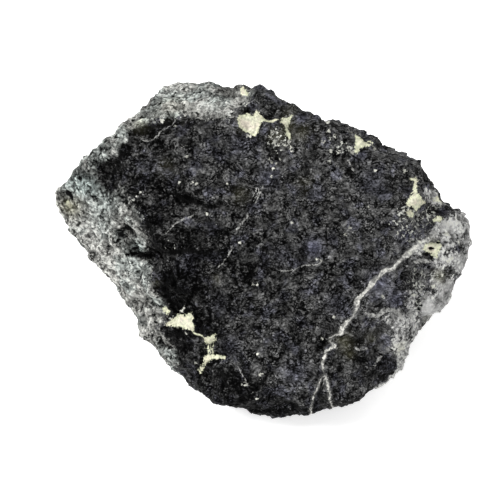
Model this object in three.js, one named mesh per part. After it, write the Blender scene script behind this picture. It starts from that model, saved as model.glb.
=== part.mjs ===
// A hand-sized lump of chromite ore: one solid, broken on its front and weathered on its sides.
// Units are millimetres, +Z is up, and the origin is the middle of the underside.
//
// The lump is first shaped in its own face frame: x to the right and y up across the broken
// face, z out of it, from a point inside the stone. It is then leaned back by FACE_LEAN and
// set down on its flat underside.
import * as THREE from "three";
import { mergeVertices } from "three/addons/utils/BufferGeometryUtils.js";

// Driving dimensions
const FACE_LEAN = 27; // degrees from level to the broken face
const UNDERSIDE_DEPTH = 19.5; // from the inner point down to the flat underside
const EDGE_SHARPNESS = 70; // exponent of the smooth intersection: higher gives crisper edges
const RIM_SPREAD = 0.986; // the rim is drawn at this share of its size, as the relief stands out from it
const RIM_BAND = 0.3; // slope from the rim at which its small corners fade from the side walls
const RIM_CALM = 0.75; // share of the broad relief left out beside the rim, which holds its outline
const RIM_EASING = [-20, -13, -6.5, 0, 6.5, 13, 20]; // degrees over which they are averaged
const MESH_DETAIL = 20; // 20 * (detail + 1)^2 triangles
const SPREAD = [40, 33, 19]; // half sizes of the ellipsoid that spaces the vertices evenly
const OUTWARD_EASE = 14; // the same for the direction relief stands out in, which turns more gently
const UNDERSIDE_CUT = 0.8; // taken off below, which leaves the flat that the lump rests on

// Relief: its layers by size of bump, height and random seed
const BROAD_NOISE = { size: 15, height: 0.6, seed: 1 };
const BROAD_CHIPS = { size: 11, height: 1.1, seed: 10 };
const SMALL_CHIPS = { size: 5.5, height: 0.65, seed: 20 };
const SMALL_NOISE = { size: 4, height: 0.2, seed: 2 };
const CHIP_EDGE = 13; // how abruptly one chip gives way to the next
const CHIP_TILT = 1.6; // how steeply each chip may lean
const FRESH_CALM = 0.5; // share of the relief left out on the broken face
const LEDGE_FADE = 8; // height above the rim at which a ledge has its full drop
const LEDGE_WALL = [-0.5, 0.7]; // where its drop begins and ends, across its line
const LEDGE_ENDS = 0.12; // share of its length over which its drop grows and dies away

// The rim, seen square to the broken face, anticlockwise from the right-hand tip.
const RIM = [
  [42, 0.4], [41.2, 4.4], [39.6, 6.2], [37, 7.9], [34.5, 9.6], [32.6, 13.9], [31, 17.2],
  [24.6, 17.7], [21.2, 21.3], [15.3, 23], [10.3, 23.9], [5.4, 25.8], [2.4, 27.5], [-0.4, 29.8],
  [-4.6, 32], [-10.4, 33.8], [-16.2, 32.9], [-21.6, 31.1], [-26.2, 25.6], [-31.6, 19.8],
  [-39.6, 13.9], [-43.2, 10.4], [-42.7, 6.9], [-36.5, 0.4], [-33.8, -4.1], [-29.2, -9.3],
  [-25.4, -14.4], [-24.3, -19], [-20.2, -22.7], [-15, -27.2], [-10.5, -29.5], [-7, -32.3],
  [-1, -34.5], [4.9, -33.8], [10.7, -32.7], [15.4, -31], [19.8, -29.9], [24.6, -27.7],
  [26.7, -23.4], [28.2, -19.9], [30.9, -16.1], [35.4, -13.2], [37.1, -9.6], [39.9, -5],
];

// The broken face and its bevels: azimuth in the face plane, elevation towards the front,
// distance from the inner point.
const BROKEN = [
  [100, 88.5, 14.2], // most of the face
  [196, 80, 15.4], // its left part, sloping off
  [-40, 71, 21.2], // its lower right part, beyond the pale vein
  [-98, 62, 24.6], // lower bevel
  [66, 50, 26.6], // upper right bevel
  [-64, 50, 29.6], // lower right bevel
];

// The sides: azimuth, elevation, and the height at which each meets the rim at its azimuth.
const SIDES = [
  [208, 46, 1], // weathered left side
  [221, 38, 4], // its lower part
  [166, 36, 3], // left corner
  [126, 22, 5], // upper left edge
  [97, 36, 4.5], // weathered top
  [14, 40, 6], // right-hand tip
  [-26, 44, 4], // pale lower right side
  [-88, 24, 6],
  [104, -22, -5], // back
  [130, -36, -4],
  [163, -40, -7],
  [212, -26, -10],
  [236, -20, -6],
  [264, -30, -4],
  [-56, -36, -3],
  [-14, -24, -5],
  [16, -44, -6],
  [58, -26, -1],
  [74, -50, -10],
];

// Breaks in the broken face: a line, how far the ground drops on its right-hand side as
// the line is walked, and how far the drop lasts before it heals.
const LEDGES = [
  {
    drop: 0.9,
    reach: 9,
    line: [
      [-24.6, 13], [-21, 12.2], [-18.6, 11.2], [-16.2, 9.5], [-13.6, 8.5], [-10, 7.8],
    ],
  },
  {
    drop: 1,
    reach: 7,
    line: [
      [-28, -0.6], [-25.4, -1.8], [-22.5, -1.2], [-17, -1.2], [-10, -1.8], [-4, -3],
    ],
  },
  {
    drop: 1.3,
    reach: 16,
    line: [
      [36, 3.4], [28.6, -1.8], [24, -5.2], [20.4, -9], [18.2, -12.6], [15.4, -17], [12.4, -21],
      [11.6, -33],
    ],
  },
  {
    drop: 1,
    reach: 6,
    line: [
      [-27.4, 21.6], [-24.6, 23.8], [-20.6, 25.4], [-15.6, 26.2], [-10, 25],
    ],
  },
];

// Lumps and pits: centre in the face frame, radius, height (a pit's is negative).
const LUMPS = [
  [0.4, 28.6, 8, 4.2, 1.9], // dark knob on the top edge
  [-4.8, 28.6, 8, 2.6, -1.7], // notch beside it
  [1, 24.4, 12, 2.4, -0.7], // hollow below it
  [-38.8, 10, 4, 1.8, -1.3], // hollow in the left tip
  [-28.4, 2.6, 8, 2.4, -1.4], // hollow in the left corner
  [-26, 5.5, 9, 5, 0.9],
  [-30.2, 15, 9, 4, -1.5],
  [-26, -1.6, 8, 2.2, -1.5], // hollow where the left ledge begins
  [13.6, -20.2, 13, 3, -1.4], // hollow under the vein's bend
  [33, 6, 12, 4, -1.1],
  [26, -15, 10, 5, 0.9],
  [36.6, -4, 6, 3.6, 1],
  [40, 1.2, 0, 2.2, 0.7], // lobe on the right-hand tip
  [3, -22, 13, 9, 0.6],
  [-7, 14, 14, 9, 0.7],
  [18, 8, 14, 10, 0.5],
  [38, 0, -12, 8, 1.8], // back and sides, from here on
  [-20, 8, -18, 10, 2],
  [12, 24, -16, 9, -2],
  [-30, 14, -12, 8, -1.6],
];

const radians = THREE.MathUtils.degToRad;
const smooth = THREE.MathUtils.smoothstep;

// A repeatable random value from 0 to 1 at a lattice point.
function lattice(i, j, k, seed) {
  let h = Math.imul(i, 374761393) + Math.imul(j, 668265263);
  h = (h + Math.imul(k, 1274126177) + Math.imul(seed, 974711)) | 0;
  h = Math.imul(h ^ (h >>> 13), 1103515245);
  h = Math.imul(h ^ (h >>> 15), 668265263);
  return ((h ^ (h >>> 16)) >>> 0) / 4294967296;
}

// Smooth noise up to the layer's height each way, with bumps about one size across.
function noise(p, { size, height, seed }) {
  const cell = [p.x, p.y, p.z].map((c) => Math.floor(c / size));
  const t = [p.x, p.y, p.z].map((c, axis) => {
    const f = c / size - cell[axis];
    return f * f * f * (f * (6 * f - 15) + 10);
  });
  let sum = 0;
  for (let corner = 0; corner < 8; corner++) {
    const step = [corner & 1, (corner >> 1) & 1, corner >> 2];
    const weight = step.reduce((w, s, axis) => w * (s ? t[axis] : 1 - t[axis]), 1);
    sum += weight * lattice(cell[0] + step[0], cell[1] + step[1], cell[2] + step[2], seed);
  }
  return height * (2 * sum - 1);
}

// Chipped stone, to about the layer's height each way: cells one size across, each a tilted
// plane at its own level.
function chips(p, { size, height, seed }) {
  const [x, y, z] = [p.x / size, p.y / size, p.z / size];
  const [i0, j0, k0] = [Math.floor(x), Math.floor(y), Math.floor(z)];
  let total = 0;
  let weights = 0;
  for (let n = 0; n < 27; n++) {
    const [i, j, k] = [i0 - 1 + (n % 3), j0 - 1 + (Math.floor(n / 3) % 3), k0 - 1 + Math.floor(n / 9)];
    const dx = x - i - lattice(i, j, k, seed);
    const dy = y - j - lattice(i, j, k, seed + 1);
    const dz = z - k - lattice(i, j, k, seed + 2);
    const weight = Math.exp(-CHIP_EDGE * (dx * dx + dy * dy + dz * dz));
    let level = lattice(i, j, k, seed + 3) - 0.5;
    level += CHIP_TILT * dx * (lattice(i, j, k, seed + 4) - 0.5);
    level += CHIP_TILT * dy * (lattice(i, j, k, seed + 5) - 0.5);
    level += CHIP_TILT * dz * (lattice(i, j, k, seed + 6) - 0.5);
    total += weight * level;
    weights += weight;
  }
  return (2 * height * total) / weights;
}

// Signed distance to a line in the face plane, positive on its right-hand side, and how
// far along the line the nearest point lies, from 0 to 1.
function besideLine(p, line) {
  let best = { distance: Infinity, side: 1, along: 0 };
  for (let i = 0; i + 1 < line.length; i++) {
    const [ax, ay] = line[i];
    const [dx, dy] = [line[i + 1][0] - ax, line[i + 1][1] - ay];
    const t = ((p.x - ax) * dx + (p.y - ay) * dy) / (dx * dx + dy * dy);
    const held = Math.min(1, Math.max(0, t));
    const [ex, ey] = [p.x - ax - held * dx, p.y - ay - held * dy];
    const distance = Math.hypot(ex, ey);
    if (distance < best.distance - 1e-9) {
      const side = dy * (p.x - ax) - dx * (p.y - ay) >= 0 ? 1 : -1;
      best = { distance, side, along: (i + held) / (line.length - 1) };
    }
  }
  return { signed: best.side * best.distance, along: best.along };
}

// Each edge of the rim, as a wall square to the broken face.
const walls = RIM.map((start, index) => {
  const end = RIM[(index + 1) % RIM.length];
  const length = Math.hypot(end[0] - start[0], end[1] - start[1]);
  const [nx, ny] = [(end[1] - start[1]) / length, (start[0] - end[0]) / length];
  return { nx, ny, distance: nx * start[0] + ny * start[1], from: Math.atan2(start[1], start[0]) };
}).sort((a, b) => a.from - b.from);

// The rim's distance from the middle at an angle in the face plane.
function rimRadius(angle) {
  const turn = Math.atan2(Math.sin(angle), Math.cos(angle));
  const wall = walls.findLast((w) => w.from <= turn) ?? walls[walls.length - 1];
  return (RIM_SPREAD * wall.distance) / (wall.nx * Math.cos(turn) + wall.ny * Math.sin(turn));
}

// A plane as its outward normal and its distance from the inner point.
function plane(azimuth, elevation, distance, broken) {
  const [a, e] = [radians(azimuth), radians(elevation)];
  const normal = new THREE.Vector3(Math.cos(e) * Math.cos(a), Math.cos(e) * Math.sin(a), Math.sin(e));
  return { normal, distance, broken };
}

// A side's plane, through the rim at its azimuth and the given height.
function sidePlane([azimuth, elevation, height]) {
  const e = radians(elevation);
  const distance = rimRadius(radians(azimuth)) * Math.cos(e) + height * Math.sin(e);
  return plane(azimuth, elevation, distance, false);
}

const lean = new THREE.Matrix4().makeRotationX(radians(FACE_LEAN));
const down = new THREE.Vector3(0, 0, -1).transformDirection(lean.clone().transpose());
const facets = BROKEN.map(([azimuth, elevation, distance]) => plane(azimuth, elevation, distance, true));
facets.push(...SIDES.map(sidePlane));
facets.push({ normal: down, distance: UNDERSIDE_DEPTH, broken: false });

// The wall that a direction passes through. It follows the rim's every corner beside the
// rim, and only its broad outline further off.
function wallFacing(direction) {
  const angle = Math.atan2(direction.y, direction.x);
  const across = Math.hypot(direction.x, direction.y);
  const slope = direction.z / Math.max(across, 1e-6);
  const near = Math.exp(-((slope / RIM_BAND) ** 2));
  let broad = 0;
  for (const turn of RIM_EASING) {
    broad += rimRadius(angle + radians(turn)) / RIM_EASING.length;
  }
  const distance = broad + near * (rimRadius(angle) - broad);
  const normal = new THREE.Vector3(Math.cos(angle), Math.sin(angle), 0);
  return { normal, distance, broken: false, near };
}

// The smooth intersection of all the planes along one direction: where it meets the surface,
// which way is outward there, how much of it is the broken face, and how near the rim it is.
function faceted(direction) {
  let sum = 0;
  let fresh = 0;
  const outward = new THREE.Vector3();
  const wall = wallFacing(direction);
  for (const facet of [...facets, wall]) {
    const share = facet.normal.dot(direction) / facet.distance;
    if (share > 0) {
      const part = share ** EDGE_SHARPNESS;
      sum += part;
      fresh += facet.broken ? part : 0;
      outward.addScaledVector(facet.normal, share ** (OUTWARD_EASE - 1) / facet.distance);
    }
  }
  const point = direction.clone().multiplyScalar(sum ** (-1 / EDGE_SHARPNESS));
  return { point, outward: outward.normalize(), fresh: fresh / sum, near: wall.near };
}

// How far the stone stands proud of its flat faces at a point: the broken face is hackly
// but level, and the sides are lumpier.
function relief(p, fresh, near) {
  const rough = 1 - FRESH_CALM * fresh;
  const calm = 1 - RIM_CALM * near;
  let height = rough * calm * (noise(p, BROAD_NOISE) + chips(p, BROAD_CHIPS));
  height += rough * (chips(p, SMALL_CHIPS) + noise(p, SMALL_NOISE));
  const front = smooth(p.z, 0, LEDGE_FADE);
  for (const { drop, reach, line } of LEDGES) {
    const { signed, along } = besideLine(p, line);
    const ends = smooth(along, 0, LEDGE_ENDS) * (1 - smooth(along, 1 - LEDGE_ENDS, 1));
    const wall = smooth(signed, ...LEDGE_WALL) * (1 - smooth(signed, 1, reach));
    height -= front * ends * drop * wall;
  }
  for (const [x, y, z, radius, rise] of LUMPS) {
    const away = (p.x - x) ** 2 + (p.y - y) ** 2 + (p.z - z) ** 2;
    height += rise * Math.exp(-away / (radius * radius));
  }
  return height;
}

// The lump's closed surface: an even sphere of directions, each carried out to the stone.
function lumpGeometry() {
  const sphere = new THREE.IcosahedronGeometry(1, MESH_DETAIL);
  sphere.deleteAttribute("normal");
  sphere.deleteAttribute("uv");
  const geometry = mergeVertices(sphere, 1e-5);
  const position = geometry.getAttribute("position");
  const spread = new THREE.Vector3(...SPREAD);
  for (let i = 0; i < position.count; i++) {
    const direction = new THREE.Vector3().fromBufferAttribute(position, i);
    const { point, outward, fresh, near } = faceted(direction.multiply(spread).normalize());
    point.addScaledVector(outward, relief(point, fresh, near)).applyMatrix4(lean);
    position.setXYZ(i, point.x, point.y, Math.max(point.z, UNDERSIDE_CUT - UNDERSIDE_DEPTH));
  }
  geometry.computeBoundingBox();
  const { min, max } = geometry.boundingBox;
  geometry.translate(-(min.x + max.x) / 2, -(min.y + max.y) / 2, -min.z);
  geometry.computeVertexNormals();
  return geometry;
}

const ore = new THREE.MeshStandardMaterial({ color: 0x3f3f41, roughness: 0.6, metalness: 0.05 });
const lump = new THREE.Mesh(lumpGeometry(), ore);
lump.name = "chromite_ore_lump";

const part = new THREE.Group();
part.add(lump);
export default part;
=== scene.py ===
"""A hand-sized lump of chromite ore: dark broken face, grey weathered rind, cream infillings
and a pale vein, as one closed surface worked out with numpy.

Shapes are worked out in millimetres in the lump's face frame: x to the right and y up across
the broken face, z out of it, from a point inside the stone. The finished surface is leaned
back by FACE_LEAN, set on its underside and written in metres.
"""
import math

import bpy
import numpy as np
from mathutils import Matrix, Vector


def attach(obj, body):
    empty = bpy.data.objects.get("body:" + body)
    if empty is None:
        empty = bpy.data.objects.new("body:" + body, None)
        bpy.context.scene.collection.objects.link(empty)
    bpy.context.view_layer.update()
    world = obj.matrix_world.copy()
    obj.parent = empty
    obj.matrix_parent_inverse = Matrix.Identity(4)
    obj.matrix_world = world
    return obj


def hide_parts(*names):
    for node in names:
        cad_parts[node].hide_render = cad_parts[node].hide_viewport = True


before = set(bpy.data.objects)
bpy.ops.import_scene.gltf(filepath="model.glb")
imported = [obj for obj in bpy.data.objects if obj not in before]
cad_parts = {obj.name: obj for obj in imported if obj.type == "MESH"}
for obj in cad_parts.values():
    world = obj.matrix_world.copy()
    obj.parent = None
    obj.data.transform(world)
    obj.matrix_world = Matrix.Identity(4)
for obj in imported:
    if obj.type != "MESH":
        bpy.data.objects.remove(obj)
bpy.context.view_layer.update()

MM = 0.001

# ---------------------------------------------------------------- the stone's main form
FACE_LEAN = 27.0  # degrees that the broken face leans back from level
UNDERSIDE_DEPTH = 19.5  # from the inner point down to the underside's plane
UNDERSIDE_CUT = 0.8  # how far above that plane the flat lies
EDGE_SHARPNESS = 70.0  # exponent of the flats' smooth intersection
OUTWARD_EASE = 14.0  # the lower exponent for the outward direction
RIM_SPREAD = 0.986  # the rim is built at this share of its outline's distance
RIM_BAND = 0.3  # slope off the rim over which the rim's own outline gives way
RIM_CALM = 0.75  # share of the broad relief that is taken away at the rim
RIM_EASING = (-20, -13, -6.5, 0, 6.5, 13, 20)  # degrees, averaged for the outline elsewhere
FRESH_CALM = 0.5  # share of the relief that is taken away on the broken face
CHIP_EDGE = 13.0  # sharpness of the joins between chips
CHIP_TILT = 1.6  # how far they lean
LEDGE_ENDS = 0.12  # share of a ledge's length over which each end fades

# Layers of noise or chips: rows of (height or amount, size, seed), all in mm.
BROAD_SWELL = [(0.6, 15, 1)]
BROAD_CHIPS = [(1.1, 11, 10)]
MIDDLE_CHIPS = [(0.65, 5.5, 20)]
MIDDLE_SWELL = [(0.2, 4, 2)]
FRESH_GRAIN = [(0.24, 2.6, 40), (0.3, 1.25, 50)]
RIND_GRAIN = [(0.26, 2.0, 60), (0.2, 1.1, 67)]
RESTING_CHIPS = [(0.2, 1.6, 80)]
EDGE_WOBBLE = [(0.5, 2.4, 70), (0.35, 1.2, 71)]  # of the edges of rind and pale rock
WALL_WOBBLE = [(4, 9, 82), (2, 4, 83)]  # the same, further down the walls
FRONT_END = [(5, 10, 84), (2.5, 4, 85)]  # of the line where the front's layout ends
REAR_PUSH = [(3.4, 5, 91), (3.4, 5, 92), (3.4, 5, 93)]  # in x, y and z
REAR_RIND = [(6, 19, 72), (3.5, 8, 86)]  # rind where it is above 0, fresh stone below
REAR_RAG = [(2.6, 3.4, 87)]  # of its edges
SHADE_DRIFT = [(0.6, 2.6, 88), (0.35, 1.3, 89)]  # of shaded ground, in place
LINE_WAVER = [(0.2, 1.1, 90)]  # of hairlines and cracks, in place
VEIN_BEADS = [(0.16, 1.3, 73), (0.12, 3.1, 75)]  # of the vein's half width

# Depths and heights of the fine relief
PIT_DEPTH = 0.35
CREAM_DEPTH = 0.2
VEIN_RISE = 0.14
GROOVE_DEPTH = 0.12
CRACK_DEPTH = 0.3
HOLE_DEPTH = 0.8

LINE_REACH = 0.8  # further off than this a line's width falls away, so that none meet falsely
NOTCH = (32, -15.6, 4, 1)  # the rim's notch: its middle, radius and strength
NOTCH_RIND = 9  # raises its share of rind
# The notch's lightening is painted light, lifting it out of the shade that falls in it.
NOTCH_LIGHT = 0.9  # and makes it lighter
REAR_SHARE = 3.6  # raises the share of rind everywhere behind
FRONT_FLOOR = -3.0  # infillings, vein and holes end here, below the rim
NOWHERE = -9.0  # a distance well outside any marking

RIM = [
    (42, 0.4), (41.2, 4.4), (39.6, 6.2), (37, 7.9), (34.5, 9.6), (32.6, 13.9), (31, 17.2),
    (24.6, 17.7), (21.2, 21.3), (15.3, 23), (10.3, 23.9), (5.4, 25.8), (2.4, 27.5), (-0.4, 29.8),
    (-4.6, 32), (-10.4, 33.8), (-16.2, 32.9), (-21.6, 31.1), (-26.2, 25.6), (-31.6, 19.8),
    (-39.6, 13.9), (-43.2, 10.4), (-42.7, 6.9), (-36.5, 0.4), (-33.8, -4.1), (-29.2, -9.3),
    (-25.4, -14.4), (-24.3, -19), (-20.2, -22.7), (-15, -27.2), (-10.5, -29.5), (-7, -32.3),
    (-1, -34.5), (4.9, -33.8), (10.7, -32.7), (15.4, -31), (19.8, -29.9), (24.6, -27.7),
    (26.7, -23.4), (28.2, -19.9), (30.9, -16.1), (35.4, -13.2), (37.1, -9.6), (39.9, -5),
]

# The broken face and its bevels: azimuth, elevation, distance from the inner point.
BROKEN = [
    (100, 88.5, 14.2), (196, 80, 15.4), (-40, 71, 21.2), (-98, 62, 24.6), (66, 50, 26.6),
    (-64, 50, 29.6),
]

# The sides: azimuth, elevation, height at which each meets the rim.
SIDES = [
    (208, 46, 1), (221, 38, 4), (166, 36, 3), (126, 22, 5), (97, 36, 4.5), (14, 40, 6),
    (-26, 44, 4), (-88, 24, 6), (104, -22, -5), (130, -36, -4), (163, -40, -7), (212, -26, -10),
    (236, -20, -6), (264, -30, -4), (-56, -36, -3), (-14, -24, -5), (16, -44, -6), (58, -26, -1),
    (74, -50, -10),
]

# Breaks in the broken face: drop, reach, line.
LEDGES = [
    (0.9, 9, [(-24.6, 13), (-21, 12.2), (-18.6, 11.2), (-16.2, 9.5), (-13.6, 8.5), (-10, 7.8)]),
    (1, 7, [(-28, -0.6), (-25.4, -1.8), (-22.5, -1.2), (-17, -1.2), (-10, -1.8), (-4, -3)]),
    (1.3, 16, [(36, 3.4), (28.6, -1.8), (24, -5.2), (20.4, -9), (18.2, -12.6), (15.4, -17),
               (12.4, -21), (11.6, -33)]),
    (1, 6, [(-27.4, 21.6), (-24.6, 23.8), (-20.6, 25.4), (-15.6, 26.2), (-10, 25)]),
]

# Lumps and pits: centre, radius, height.
LUMPS = [
    (0.4, 28.6, 8, 4.2, 1.9), (-4.8, 28.6, 8, 2.6, -1.7), (1, 24.4, 12, 2.4, -0.7),
    (-38.8, 10, 4, 1.8, -1.3), (-28.4, 2.6, 8, 2.4, -1.4), (-26, 5.5, 9, 5, 0.9),
    (-30.2, 15, 9, 4, -1.5), (-26, -1.6, 8, 2.2, -1.5), (13.6, -20.2, 13, 3, -1.4),
    (33, 6, 12, 4, -1.1), (26, -15, 10, 5, 0.9), (36.6, -4, 6, 3.6, 1), (40, 1.2, 0, 2.2, 0.7),
    (3, -22, 13, 9, 0.6), (-7, 14, 14, 9, 0.7), (18, 8, 14, 10, 0.5), (38, 0, -12, 8, 1.8),
    (-20, 8, -18, 10, 2), (12, 24, -16, 9, -2), (-30, 14, -12, 8, -1.6),
]

# ---------------------------------------------------------------- the surface's own grid
GRID_HALF = (36.0, 29.0, 15.0)  # half sizes of the box whose six sides carry the grid
GRID_STEPS = (184, 150, 66)  # steps along x, y and z
TILE_GAP = 4  # grid steps left empty between tiles of the bake map

# ---------------------------------------------------------------- markings on the stone
# The front's markings are laid out as seen from this far off, over this point, in mm.
SEEN_FROM = 900.0
SEEN_OVER = (-3.0, -1.0)

# The fresh dark stone's edge, seen square to the broken face. The rind lies outside it.
FRESH_EDGE = [
    (-6.4, 25.2), (-9, 25), (-12, 25.2), (-15.5, 26.3), (-18, 25.5), (-20, 25.5), (-22, 25),
    (-23.4, 24.2), (-25, 23.8), (-26.4, 23.2), (-27.2, 22.2), (-27.6, 20.6), (-28.8, 19.4),
    (-29.8, 18), (-31.4, 17.2), (-33.2, 16.6), (-34.2, 15.4), (-34.2, 14), (-33.4, 12.4),
    (-32, 10.8), (-30.4, 10.6), (-29, 11.6), (-28, 10.2), (-27.2, 8.4), (-26, 7), (-25, 5.4),
    (-24.6, 3.4), (-23.6, 1.6), (-22.8, 0), (-22.8, -1.6), (-24.4, -2.2), (-23.2, -3.4),
    (-22.6, -5), (-22.9, -6.2), (-22.4, -8), (-21.6, -9.6), (-20.6, -11), (-19.6, -12.4),
    (-20.6, -14.2), (-20.2, -15.6), (-21.2, -16.4), (-20.5, -18), (-18.8, -19.2), (-17.8, -20.8),
    (-17.2, -22), (-16.9, -23.4), (-17.2, -24.6), (-40, -52), (64, -52), (64, 60), (-2.2, 60),
    (-3, 31), (-3.2, 29.6), (-4.6, 28.6), (-6, 27),
]

# Cream infillings: outlines.
CREAM = [
    [(-5.5, 24.7), (-5.4, 25.6), (-4.9, 25.9), (-4, 26.1), (-3, 26.1), (-2.3, 25.8), (-2, 26.4),
     (-1.7, 27.1), (-1.3, 26.3), (-0.8, 25.5), (-0.2, 24.9), (-0.8, 24.2), (-1.2, 23.5),
     (-1.3, 22.6), (-1.9, 21.8), (-2.6, 22), (-3.5, 22.5), (-4.4, 23.1), (-5.1, 23.7)],
    [(3, 25.2), (4, 25.4), (4.6, 25.3), (5.4, 25.9), (5, 25), (4.8, 24.3), (4.6, 23.5), (4.7, 22.8),
     (5.1, 22), (5.5, 21.3), (4.9, 21.2), (4.5, 21.8), (4.2, 22.6), (4.1, 23.5), (3.9, 24.1),
     (3.3, 24.5)],
    [(-6.4, 29.7), (-6.2, 30.2), (-5.8, 30.6), (-6.2, 32.4), (-5.8, 34.6), (-4.4, 36.4), (-3.6, 35),
     (-3.4, 32.6), (-3.2, 30.5), (-3.5, 30), (-4.5, 29.8), (-5.5, 29.6)],
    [(17.2, 23.9), (17.6, 23.5), (18.1, 22.6), (18.5, 21.8), (18.9, 21.3), (19.7, 20.9),
     (20.7, 20.4), (21.7, 20.2), (20.9, 19.9), (19.9, 19.8), (19.2, 19.5), (18.8, 19), (18.4, 18.3),
     (18, 18.5), (18.1, 19.4), (18.1, 20.6), (18.1, 21.4), (17.9, 22.2), (17.5, 23)],
    [(29.2, 13.3), (30, 13.5), (30.5, 12.8), (30.3, 11.6), (30.4, 10.4), (31, 9.4), (31.8, 8.9),
     (32.4, 8.6), (31.4, 8), (30.7, 7.3), (30.2, 6.7), (29.6, 7.7), (28.3, 7.9), (28.7, 9.2),
     (29.4, 9.9), (29.8, 10.8), (29.8, 12.4)],
    [(-19.9, -16), (-19.2, -15.3), (-18.4, -14.8), (-17.6, -14), (-16.8, -14), (-16, -14.5),
     (-15.7, -13.7), (-14.8, -13.6), (-14.3, -14.4), (-14.6, -15.4), (-14.2, -16.2), (-14.4, -17.4),
     (-15.2, -16.9), (-16.4, -16.7), (-17.8, -16.4)],
    [(-20.7, -12.9), (-20.1, -12.3), (-19.4, -12.6), (-18.9, -13.1), (-19.3, -13.7), (-20, -13.5)],
    [(-12.5, -18.6), (-11.5, -18.5), (-10.7, -18.2), (-9.8, -17.8), (-10.2, -18.5), (-9.8, -19),
     (-10.5, -19.4), (-10.9, -19.8), (-11.6, -19.8), (-12.1, -19.2)],
    [(-11.9, -22), (-11.2, -21.9), (-10, -22.1), (-9, -22.2), (-8.1, -22.4), (-8.1, -22.9),
     (-9.2, -22.9), (-10.4, -22.8), (-11.2, -23.1), (-11.8, -23.8), (-12.3, -24.6), (-12.9, -25.9),
     (-13.2, -25.2), (-13.5, -24.8), (-12.7, -24.3), (-12.1, -23.4)],
    [(31.8, -0.9), (32.3, 0.1), (33.4, 0.4), (34.4, 0.3), (35.2, 0.8), (35.5, 0), (35, -1),
     (34.6, -2.6), (33.8, -2.3), (33.4, -1.6), (32.6, -1.5)],
    [(28.3, 6.3), (28.7, 6.9), (29.3, 6.8), (29.7, 6.2), (29.2, 5.5), (28.6, 5.7)],
    [(33.7, 5), (34.6, 5.8), (35.8, 5.6), (35.4, 4.9), (34.4, 4.6)],
    [(33.3, 9.2), (33.8, 10), (35.2, 10.8), (38.6, 12.4), (42, 11.6), (40.4, 9.2), (37.6, 8.2),
     (35.6, 7.8), (34.4, 8.2)],
    [(-40.1, 8.2), (-39.7, 9), (-39.1, 8.7), (-38.7, 7.8), (-39.2, 7.3), (-39.9, 7.5)],
]

# Thin cream threads: half width, line.
THREADS = [
    (0.26, [(-1.5, 26.6), (-1, 25.9), (-0.3, 25.2), (0.6, 24.9), (1.6, 24.8), (2.4, 25),
            (3.6, 25.1)]),
    (0.1, [(20.5, 21), (21, 21.6), (21.8, 21.6), (22.1, 21), (21.9, 20.2)]),
    (0.16, [(31.8, 13.2), (32.4, 12.5), (32.9, 12)]),
    (0.17, [(-14.7, -17.2), (-13.5, -18), (-12, -18.5)]),
    (0.13, [(-11.3, -19.6), (-11.2, -21), (-11.3, -22.4)]),
    (0.09, [(-10.6, -19.6), (-10.4, -20.8), (-10.5, -22.2)]),
    (0.08, [(-11.4, -20.9), (-10.3, -20.9)]),
]

# Small white and cream bits: middle and radius.
BITS = [
    (-3.5, 22, 0.4), (-2.9, 21.8, 0.35), (0.9, 21.7, 0.4), (1.9, 20.6, 0.5), (2.7, 20, 0.38),
    (4, 20, 0.36), (1.4, 22.7, 0.34), (4.8, 20.6, 0.4), (5.1, 19.5, 0.4), (5.3, 18.8, 0.35),
    (0.9, 17.2, 0.36), (1.3, 16.6, 0.36), (2.9, 17.2, 0.34), (2.3, 16.4, 0.36), (1.6, 15.2, 0.36),
    (1.3, 13.7, 0.34), (12.8, 22.8, 0.42), (13.9, 21.9, 0.32), (14, 21.5, 0.32), (11.4, 20.7, 0.32),
    (11.9, 20.5, 0.3), (13.1, 18.8, 0.42), (14.8, 18.6, 0.36), (12.9, 16.7, 0.36),
    (17.6, 18.6, 0.45), (17.1, 19, 0.36), (16.6, 19.5, 0.4), (22.2, 19.4, 0.45), (21.8, 20, 0.3),
    (22, 21.2, 0.3), (12.6, 24.7, 0.4), (22.1, 15, 0.42), (28, 14.8, 0.44), (27.6, 6.9, 0.42),
    (26.6, 2.4, 0.4), (17, 3.4, 0.44), (16.2, 2.1, 0.36), (10.4, -2.8, 0.36), (11.2, -3.1, 0.36),
    (13.8, -14.5, 0.4), (23.6, -10.4, 0.42), (20.8, 7.6, 0.34), (5.4, 4.5, 0.36),
    (-15.7, 17.7, 0.38), (-13.8, 12.2, 0.4), (-14.6, 12.5, 0.3), (-17.2, 12.5, 0.3),
    (-24.9, 10.5, 0.32), (-7.6, 12.3, 0.28), (-20.6, 24.8, 0.46), (-18, 24, 0.36),
    (-11.6, 6.2, 0.34), (-5, 0.5, 0.4), (-2.4, -7.9, 0.34), (-1.5, -7.9, 0.34), (-0.8, -25.9, 0.42),
    (-1.4, -21.8, 0.38), (-3.6, -28, 0.38), (-4.4, -27.7, 0.36), (-1.6, -30.6, 0.38),
    (-16.2, -12.5, 0.4), (-16.8, -13.3, 0.36), (-15.7, -17.6, 0.34), (-13.9, -23.5, 0.34),
    (-20.9, -14.8, 0.36), (36.4, -3.2, 0.45), (37, -2.6, 0.45), (38.6, 0.5, 0.36), (36.3, 2.2, 0.5),
    (31, -8.9, 0.46), (29.5, -9.8, 0.42), (35.4, -6.1, 0.4), (33.9, -8.4, 0.5), (31.4, -5.9, 0.36),
    (30.9, 0.6, 0.46), (28.9, -1.6, 0.5), (11.4, -18.7, 0.4),
]

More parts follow.
